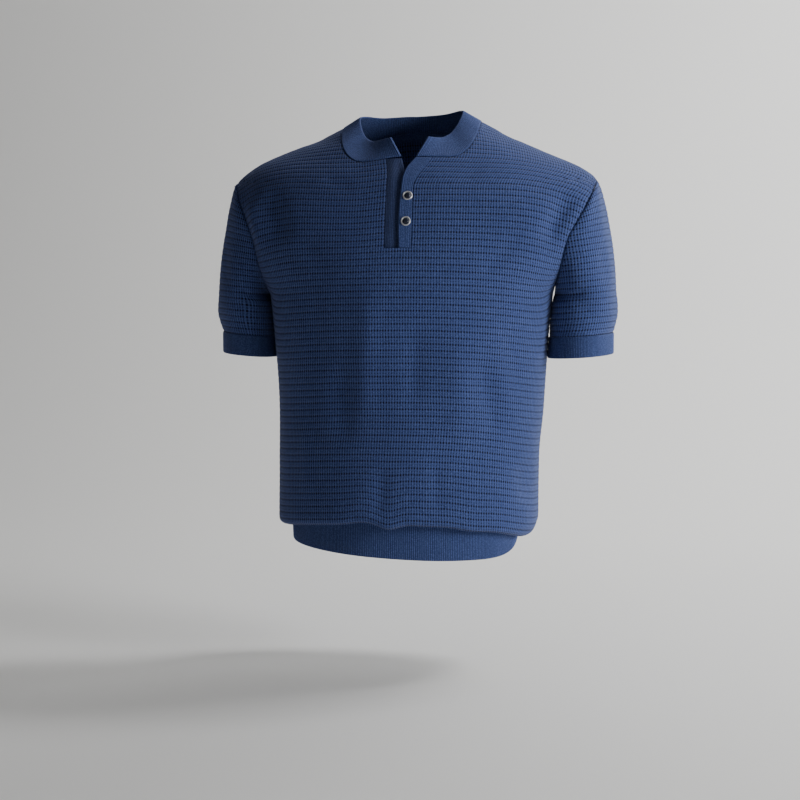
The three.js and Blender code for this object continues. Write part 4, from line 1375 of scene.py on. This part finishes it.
@dataclass
class SeamTape(Cloth):
    """A narrow tape sewn inside a seam, over both cut edges. The solids leave it out."""

    width: float = 11
    depth: float = 3.3
    thickness: float = 0.8
    rows: int = 90
    top_share: float = 0.955
    neck_columns: int = 160

    def grid(self, line: Array, across: Array, normal: Array) -> Grid:
        """Lays out the tape.

        Args:
            line: points along the seam.
            across: the directions across it.
            normal: the outward normals along it.

        Returns:
            The tape as a grid.
        """
        across = across / np.linalg.norm(across, axis=-1, keepdims=True)
        way = np.sign((np.cross(np.gradient(line, axis=0), across) * normal).sum())
        spots = np.linspace(-0.5, 0.5, 7)[:, None, None] * self.width * way
        point = line + across * spots - normal * self.depth
        arc, tall = arc_lengths(point), arc_lengths(point.transpose(1, 0, 2)).T
        rim = np.minimum(tall, tall[-1] - tall)
        half = normal * self.thickness / 2
        covered = np.ones((point.shape[0] - 1, point.shape[1] - 1), bool)
        ids = new_ids(*arc.shape)
        return Grid(point, half, point + half, point - half, arc / FINE_PITCH, tall, covered, ids, rim)

    def armhole(self, form: SleeveForm, side: Side) -> Grid:
        """Lays out the tape round an armhole: up its front, over the shoulder tip and down its back."""
        share = np.linspace(form.tube_share + 0.01, self.top_share, self.rows)
        share = np.concatenate([share, share[::-1]])
        turn, inside = np.repeat([0.0, 1.0], self.rows), np.repeat([0.02, 0.98], self.rows)
        line, ahead = form.place(share, turn), form.place(share, inside)
        angle = np.clip((line[:, 2] - form.body.armhole_middle) / form.body.armhole_half, -1, 1)
        across = ahead - line
        line[:, 0] -= form.stand_off(np.arccos(angle)) / 2
        grid = self.grid(line, across, form.normal(share, turn))
        # No cell crosses from the front half to the back half over the shoulder tip.
        grid.covered[:, self.rows - 1] = False
        if side is Side.LEFT:
            return grid
        for part in (grid.middle, grid.normal, grid.outer, grid.inner):
            part[..., 0] *= -1
        return BodyPanel.reversed(grid)

    def neck(self, form: BodyForm, band: Neckband, free: float = 60) -> Grid:
        """Lays out the tape round the back of the neck, free mm short of the seam's ends."""
        line, normal = band.neck_edge(form)
        length = arc_lengths(line[None])[0]
        place = np.linspace(free, length[-1] - free, self.neck_columns)
        line = np.stack([np.interp(place, length, line[:, n]) for n in range(3)], -1)
        normal = np.stack([np.interp(place, length, normal[:, n]) for n in range(3)], -1)
        normal = normal / np.linalg.norm(normal, axis=-1, keepdims=True)
        return self.grid(line, np.cross(normal, np.gradient(line, axis=0)), normal)


@dataclass
class Button:
    """A metal ring round a dark dome, on the over strip."""

    name: str
    x: float
    z: float
    radius: float = 6.2
    ring_width: float = 1.9
    ring_height: float = 2.2
    dome_height: float = 2.0
    seat: float = 1.4

    def stand(self, form: BodyForm) -> tuple[Vector, Any]:
        """Finds the button's place.

        Args:
            form: the body.

        Returns:
            Its seat's middle in metres, and the turn that takes +Z to the strip's normal.
        """
        angle = form.angle_at(Face.FRONT, self.x, np.array(self.z))
        normal = form.normal(Face.FRONT, angle, np.array(self.z))
        point = form.place(Face.FRONT, angle, self.z) + normal * self.seat
        turn = Vector((0, 0, 1)).rotation_difference(Vector(normal))
        return Vector(form.posed(point) * MILLIMETRE), turn

    def settle(
        self, thing: bpy.types.Object, form: BodyForm, part: str, material: bpy.types.Material
    ) -> None:
        """Puts a finished piece of the button in place and says what it stands for.

        Args:
            thing: the piece, made lying at the origin.
            form: the body.
            part: ring or dome.
            material: its finish.
        """
        seat, turn = self.stand(form)
        bpy.ops.object.select_all(action="DESELECT")
        thing.select_set(True)
        bpy.context.view_layer.objects.active = thing
        thing.name = f"{part}_{self.name}"
        thing.rotation_mode = "QUATERNION"
        thing.rotation_quaternion = turn
        thing.location = seat
        bpy.ops.object.transform_apply(location=True, rotation=True, scale=True)
        bpy.ops.object.shade_smooth_by_angle(angle=math.radians(50))
        thing.data.materials.append(material)
        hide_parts(f"button_{part}_{self.name}")
        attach(thing, BODY)
        log.info("%s: %d faces", thing.name, len(thing.data.polygons))

    def ring(self) -> bpy.types.Object:
        """Models the ring: a round metal rim with a stepped inner lip.

        Returns:
            The ring, lying at the origin.
        """
        bpy.ops.object.select_all(action="DESELECT")
        minor = self.ring_width / 2 * MILLIMETRE
        bpy.ops.mesh.primitive_torus_add(
            major_radius=(self.radius - self.ring_width / 2) * MILLIMETRE,
            minor_radius=minor,
            major_segments=96,
            minor_segments=28,
            location=(0, 0, self.ring_height / 2 * MILLIMETRE),
        )
        thing = bpy.context.object
        mesh = thing.data
        for vertex in mesh.vertices:
            reach = math.hypot(vertex.co.x, vertex.co.y)
            inward = ease((self.radius - self.ring_width / 2 - reach / MILLIMETRE) / (self.ring_width / 2))
            vertex.co.z -= 0.35 * MILLIMETRE * float(inward)
            vertex.co.z = max(vertex.co.z, 0.0)
        return thing

    def dome(self) -> bpy.types.Object:
        """Models the dome: a low glossy cap with a rounded rim and a turned groove.

        Returns:
            The dome, lying at the origin.
        """
        bpy.ops.object.select_all(action="DESELECT")
        radius = (self.radius - self.ring_width - SEAM_GAP) * MILLIMETRE
        bpy.ops.mesh.primitive_uv_sphere_add(segments=64, ring_count=32, radius=radius, location=(0, 0, 0))
        thing = bpy.context.object
        for vertex in thing.data.vertices:
            vertex.co.z = max(vertex.co.z, 0.0) * self.dome_height * MILLIMETRE / radius
            reach = math.hypot(vertex.co.x, vertex.co.y) / radius
            if vertex.co.z > 0:
                vertex.co.z -= 0.12 * MILLIMETRE * float(bell((reach - 0.86) / 0.05))
        bpy.ops.object.mode_set(mode="EDIT")
        bpy.ops.mesh.select_all(action="SELECT")
        bpy.ops.mesh.remove_doubles(threshold=2e-6)
        bpy.ops.mesh.normals_make_consistent(inside=False)
        bpy.ops.object.mode_set(mode="OBJECT")
        return thing


class Sketch:
    """A material's node tree, built a node at a time."""

    def __init__(self, name: str, **shader: Any) -> None:
        """Starts a material with one shader.

        Args:
            name: the material's name.
            shader: values of the shader's own sockets, with _ for a space.
        """
        self.material = bpy.data.materials.new(name)
        self.material.use_nodes = True
        self.tree = self.material.node_tree
        self.shader = self.tree.nodes["Principled BSDF"]
        for socket, value in shader.items():
            self.shader.inputs[socket.replace("_", " ")].default_value = value

    def add(self, kind: str, inputs: dict[Any, Any], output: Any = 0, **settings: Any) -> Any:
        """Adds a node.

        Args:
            kind: the node's type.
            inputs: a value or another node's socket for each named or numbered input.
            output: which output to give back.
            settings: the node's own properties.

        Returns:
            The output socket.
        """
        node = self.tree.nodes.new(kind)
        for setting, value in settings.items():
            setattr(node, setting, value)
        for socket, value in inputs.items():
            if isinstance(value, bpy.types.NodeSocket):
                self.tree.links.new(value, node.inputs[socket])
            else:
                node.inputs[socket].default_value = value
        return node.outputs[output]

    def math(self, operation: str, *values: Any) -> Any:
        """Adds a sum of one to three values, and gives its result."""
        return self.add("ShaderNodeMath", dict(enumerate(values)), operation=operation)

    def fade(self, value: Any, start: float, end: float, low: float = 0.0, high: float = 1.0) -> Any:
        """Adds a smooth step from low at start to high at end."""
        inputs = {"Value": value, "From Min": start, "From Max": end, "To Min": low, "To Max": high}
        return self.add("ShaderNodeMapRange", inputs, interpolation_type="SMOOTHSTEP")

    def blend(self, share: Any, a: Any, b: Any) -> Any:
        """Adds a colour between two colours."""
        return self.add("ShaderNodeMix", {0: share, 6: a, 7: b}, output=2, data_type="RGBA")

    def noise(self, scale: float, detail: float = 3.0, where: Any = None) -> Any:
        """Adds soft noise of a scale, in object space unless where says otherwise."""
        if where is None:
            where = self.add("ShaderNodeTexCoord", {}, output="Object")
        return self.add("ShaderNodeTexNoise", {"Vector": where, "Scale": scale, "Detail": detail})

    def knit_place(self) -> tuple[Any, Any, Any]:
        """Adds the piece's own coordinates.

        Returns:
            The UV map's vector, and its two parts.
        """
        uv = self.add("ShaderNodeUVMap", {}, uv_map="Knit")
        split = self.tree.nodes.new("ShaderNodeSeparateXYZ")
        self.tree.links.new(uv, split.inputs[0])
        return uv, split.outputs[0], split.outputs[1]

    def from_line(self, value: Any, offset: float = 0.0) -> Any:
        """Adds the signed distance from the nearest whole number, moved by offset."""
        moved = self.math("ADD", value, 0.5 - offset)
        return self.math("SUBTRACT", self.math("FRACT", moved), 0.5)

    def finish(self, color: Any, height: Any, depth: float) -> bpy.types.Material:
        """Joins a colour and a relief to the shader.

        Args:
            color: the colour's socket.
            height: the relief's socket, from 0 to 1.
            depth: how deep the relief is in metres.

        Returns:
            The material.
        """
        self.tree.links.new(color, self.shader.inputs["Base Color"])
        bump = self.add("ShaderNodeBump", {"Strength": 1.0, "Distance": depth, "Height": height}, output=0)
        self.tree.links.new(bump, self.shader.inputs["Normal"])
        return self.material


Color = tuple[float, float, float, float]
Place = tuple[float, float, float]


@dataclass(frozen=True)
class KnitFinish:
    """The body's knit: navy yarn in flat bands, with upright wales and rows of holes in the grooves,
    darkened with painted shade.
    """

    yarn: Color = (0.037, 0.061, 0.19, 1)
    light_yarn: Color = (0.082, 0.126, 0.34, 1)
    # Painted shade: the colour of the gaps between the wales.
    between: Color = (0.017, 0.028, 0.085, 1)
    # Painted shade: the colour of the grooves, of the holes and of the dots along the bands' middles.
    shade: Color = (0.003, 0.004, 0.011, 1)
    hole_width: float = 0.95
    hole_height: float = 1.45
    bump: float = 0.0007

    def material(self) -> bpy.types.Material:
        """Builds the material.

        Returns:
            It.
        """
        s = Sketch("knit_finish", Roughness=0.9, Sheen_Weight=0.16, Sheen_Roughness=0.5)
        s.shader.inputs["Sheen Tint"].default_value = (0.6, 0.68, 1.0, 1)
        s.shader.inputs["Specular IOR Level"].default_value = 0.22
        uv, u, v = s.knit_place()
        wobble = s.math("SUBTRACT", s.noise(55, 2.0), 0.5)
        u = s.math("MULTIPLY_ADD", wobble, 0.5, u)
        across = s.math("MULTIPLY", s.from_line(u), STITCH_PITCH)
        groove = s.math("MULTIPLY", s.from_line(v), RIB_PITCH)
        middle = s.math("MULTIPLY", s.from_line(v, 0.5), RIB_PITCH)
        near = s.math("POWER", s.math("DIVIDE", across, self.hole_width), 2)
        tall = s.math("POWER", s.math("DIVIDE", groove, self.hole_height), 2)
        hole = s.math("SQRT", s.math("ADD", near, tall))
        hole = s.fade(hole, 1.35, 0.7)
        dot = s.math("SQRT", s.math("ADD", near, s.math("POWER", s.math("DIVIDE", middle, 0.9), 2)))
        dot = s.fade(dot, 1.3, 0.4)
        line = s.fade(s.math("ABSOLUTE", groove), 1.3, 0.2)
        wale = s.math("COSINE", s.math("MULTIPLY", u, 2 * math.pi))
        heather = s.noise(900, 4.0)
        patch = s.noise(150, 2.0)
        cloud = s.noise(14, 2.0)
        color = s.blend(s.fade(heather, 0.36, 0.66), self.yarn, self.light_yarn)
        # Painted shade darkens the gaps between the wales.
        color = s.blend(s.fade(wale, -0.6, 0.9, 0.0, 0.55), color, self.between)
        color = s.blend(s.fade(cloud, 0.35, 0.7, 0.0, 0.25), color, self.yarn)
        # Painted shade darkens the grooves, the dots along the bands' middles and the holes.
        color = s.blend(s.math("MULTIPLY", line, 0.26), color, self.shade)
        color = s.blend(s.math("MULTIPLY", dot, s.fade(patch, 0.3, 0.7, 0.4, 0.85)), color, self.shade)
        color = s.blend(s.math("MULTIPLY", hole, s.fade(patch, 0.3, 0.7, 0.8, 1.0)), color, self.shade)
        height = s.math("MULTIPLY_ADD", wale, -0.13, 0.6)
        height = s.math("MULTIPLY_ADD", heather, 0.16, height)
        height = s.math("MULTIPLY_ADD", hole, -0.6, height)
        height = s.math("MULTIPLY_ADD", dot, -0.22, height)
        return s.finish(color, height, self.bump)


@dataclass(frozen=True)
class RibFinish:
    """The bands' one by one rib: the same yarn, darker between the ribs with painted shade."""

    yarn: Color = (0.036, 0.059, 0.182, 1)
    light_yarn: Color = (0.072, 0.112, 0.30, 1)
    shade: Color = (0.006, 0.009, 0.024, 1)
    bump: float = 0.0004

    def material(self, name: str, gap: float, unshaded_share: float = 1.0) -> bpy.types.Material:
        """Builds the material.

        Args:
            name: its name.
            gap: how far painted shade darkens the yarn between the ribs, from 0 to 1.
            unshaded_share: how much of the yarn's lightness stays under painted shade over the whole piece,
                where 1 is as named.

        Returns:
            It.
        """
        s = Sketch(name, Roughness=0.9, Sheen_Weight=0.16, Sheen_Roughness=0.5)
        s.shader.inputs["Sheen Tint"].default_value = (0.6, 0.68, 1.0, 1)
        s.shader.inputs["Specular IOR Level"].default_value = 0.22
        uv, u, v = s.knit_place()
        between = s.fade(s.math("ABSOLUTE", s.from_line(u)), 0.2, 0.45)
        stitch = s.math("COSINE", s.math("MULTIPLY", v, 2 * math.pi / 1.3))
        heather = s.noise(700)
        color = s.blend(s.fade(heather, 0.36, 0.66), self.yarn, self.light_yarn)
        # Painted shade over the whole piece, where its lightness is less than 1.
        color = s.blend(1 - unshaded_share, color, self.shade)
        # Painted shade darkens the gaps between the ribs.
        color = s.blend(s.math("MULTIPLY", between, gap), color, self.shade)
        height = s.math("MULTIPLY_ADD", stitch, 0.12, 0.5)
        height = s.math("MULTIPLY_ADD", heather, 0.2, height)
        height = s.math("MULTIPLY_ADD", between, -0.3, height)
        return s.finish(color, height, self.bump)


@dataclass(frozen=True)
class MetalFinish:
    """The buttons' rings: polished metal with fine handling marks."""

    color: Color = (0.9, 0.9, 0.91, 1)
    worn: Color = (0.74, 0.75, 0.78, 1)

    def material(self) -> bpy.types.Material:
        """Builds the material.

        Returns:
            It.
        """
        s = Sketch("ring_finish", Metallic=0.9, Roughness=0.36)
        marks = s.noise(900, 4.0)
        color = s.blend(s.fade(marks, 0.4, 0.7), self.color, self.worn)
        return s.finish(color, marks, 0.00002)


@dataclass(frozen=True)
class DomeFinish:
    """The buttons' domes: dark blue-black gloss."""

    color: Color = (0.010, 0.013, 0.028, 1)
    cloud: Color = (0.022, 0.028, 0.055, 1)

    def material(self) -> bpy.types.Material:
        """Builds the material.

        Returns:
            It.
        """
        s = Sketch("dome_finish", Roughness=0.16)
        swirl = s.noise(420, 3.0)
        color = s.blend(s.fade(swirl, 0.4, 0.7), self.color, self.cloud)
        return s.finish(color, swirl, 0.00001)


@dataclass(frozen=True)
class Studio:
    """The pale floor, the soft light and the camera."""

    floor_z: float = -0.72
    target: tuple[float, float, float] = (-0.014, 0.0, -0.372)
    distance: float = 2.4
    azimuth: float = 6.0
    elevation: float = 4.7
    lens: float = 81.8
    sensor: float = 36.0
    pale: Color = (0.82, 0.82, 0.81, 1)

    def floor(self) -> bpy.types.Object:
        """Models the floor, which curves up into a backdrop behind.

        Returns:
            The floor.
        """
        bpy.ops.object.select_all(action="DESELECT")
        steps = 24
        width, near, far, radius, top = 9.0, -4.0, 2.2, 1.2, 4.5
        line = [(near, self.floor_z), (far - radius, self.floor_z)]
        for n in range(1, steps + 1):
            turn = math.pi / 2 * n / steps
            out, rise = radius * math.sin(turn), radius * (1 - math.cos(turn))
            line.append((far - radius + out, self.floor_z + rise))
        line.append((far, top))
        points = [(side * width / 2, y, z) for y, z in line for side in (-1, 1)]
        faces = [(2 * n, 2 * n + 1, 2 * n + 3, 2 * n + 2) for n in range(len(line) - 1)]
        mesh = bpy.data.meshes.new("floor")
        mesh.from_pydata(points, [], faces)
        mesh.shade_smooth()
        thing = bpy.data.objects.new("floor", mesh)
        bpy.context.scene.collection.objects.link(thing)
        s = Sketch("floor_finish", Roughness=0.9)
        s.shader.inputs["Base Color"].default_value = self.pale
        thing.data.materials.append(s.material)
        return thing

    def lamp(
        self, name: str, place: Place, size: float, power: float, target: Place | None = None
    ) -> None:
        """Adds a soft square light.

        Args:
            name: the light's name.
            place: where it stands.
            size: its width in metres.
            power: its power in watts.
            target: where it looks, the shirt unless said.
        """
        aim = Vector(target or self.target)
        data = bpy.data.lights.new(name, "AREA")
        data.shape = "SQUARE"
        data.size = size
        data.energy = power
        thing = bpy.data.objects.new(name, data)
        thing.location = place
        thing.rotation_euler = (aim - Vector(place)).to_track_quat("-Z", "Y").to_euler()
        bpy.context.scene.collection.objects.link(thing)

    def lights(self) -> None:
        """Lights the shirt from the image's right, with a weak fill, and its back and backdrop."""
        self.lamp("key", (2.2, -0.85, 0.2), 0.8, 50)
        self.lamp("fill", (-1.2, -2.6, 0.1), 1.8, 2)
        self.lamp("top", (0.4, -0.1, 1.9), 1.4, 0.5)
        self.lamp("back", (1.2, 2.0, 0.6), 1.2, 6)
        self.lamp("wall", (1.6, 0.9, 1.9), 1.0, 75, (0.7, 2.2, 0.5))
        world = bpy.data.worlds.new("studio")
        world.use_nodes = True
        back = world.node_tree.nodes["Background"]
        back.inputs["Color"].default_value = (1.0, 0.97, 0.94, 1)
        back.inputs["Strength"].default_value = 0.1
        bpy.context.scene.world = world

    def camera(self) -> None:
        """Places the camera at the photograph's angle."""
        turn, rise = math.radians(self.azimuth), math.radians(self.elevation)
        back = Vector((math.sin(turn) * math.cos(rise), -math.cos(turn) * math.cos(rise), math.sin(rise)))
        data = bpy.data.cameras.new("camera")
        data.lens = self.lens
        data.sensor_width = self.sensor
        thing = bpy.data.objects.new("camera", data)
        thing.location = Vector(self.target) + back * self.distance
        thing.rotation_euler = back.to_track_quat("Z", "Y").to_euler()
        bpy.context.scene.collection.objects.link(thing)
        bpy.context.scene.camera = thing


def main() -> None:
    """Builds the shirt, its finishes and the studio."""
    logging.basicConfig(level=logging.INFO, format="%(message)s")
    form = BodyForm()
    sleeve_form = SleeveForm(form)
    knit = KnitFinish().material()
    # The rib finish has painted shade between its ribs.
    rib = RibFinish().material("rib_finish", 0.45)
    # The hem and cuff copy has deeper painted shade between the ribs.
    deep_gap_shade_rib = RibFinish().material("deep_gap_shade_rib_finish", 0.85)
    # The under strip's copy also has painted shade over the whole piece.
    shaded_rib = RibFinish().material("shaded_rib_finish", 0.6, 0.5)
    for face, flat in ((Face.FRONT, (0.56, 0.6)), (Face.BACK, (0.57, 0.6))):
        panel = BodyPanel(face.value, "knit", flat, face=face)
        grid = panel.grid(form)
        panel.finish(shell(f"{face.value}_panel", grid, form), knit, grid.area)
    for side in Side:
        sleeve = Sleeve(f"sleeve_{side.word}", "knit", (0.4, 0.21), side=side)
        grid = sleeve.grid(sleeve_form)
        sleeve.finish(shell(f"sleeve_{side.word}_cloth", grid, form), knit, grid.area)
        cuff = Cuff(f"cuff_{side.word}", "rib", (0.34, 0.029), side=side)
        grid = cuff.grid(sleeve_form)
        cuff.finish(shell(f"cuff_{side.word}_rib", grid, form), deep_gap_shade_rib, grid.area)
    neckband = Neckband("neckband", "rib", (0.5, 0.034))
    grid = neckband.grid(form)
    neckband.finish(shell("neckband_rib", grid, form), rib, grid.area)
    for left_free, name, width in ((True, "over", 0.03), (False, "under", 0.034)):
        strip = PlacketStrip(f"placket_{name}", "rib", (width, 0.13), left_free=left_free)
        grid = strip.grid(form)
        # The under strip, which lies in shade, takes the copy with painted shade over it.
        finish = rib if left_free else shaded_rib
        strip.finish(shell(f"placket_{name}_strip", grid, form), finish, grid.area)
    for face in Face:
        hem = HemBand(f"hem_{face.value}", "rib", (0.46, 0.06), face=face)
        grid = hem.grid(form)
        hem.finish(shell(f"hem_{face.value}_rib", grid, form), deep_gap_shade_rib, grid.area)
    for side in Side:
        tape = SeamTape("", "rib", (0.44, 0.011))
        grid = tape.armhole(sleeve_form, side)
        tape.finish(shell(f"armhole_tape_{side.word}", grid, form), rib, grid.area)
    tape = SeamTape("", "rib", (0.47, 0.011), depth=3.0)
    grid = tape.neck(form, neckband)
    tape.finish(shell("neck_tape", grid, form), rib, grid.area)
    metal, dark = MetalFinish().material(), DomeFinish().material()
    for button in (Button("upper", 5.8, -107), Button("lower", 4.8, -139)):
        button.settle(button.ring(), form, "ring", metal)
        button.settle(button.dome(), form, "dome", dark)
    studio = Studio()
    studio.floor()
    studio.lights()
    studio.camera()


if __name__ == "__main__":
    main()
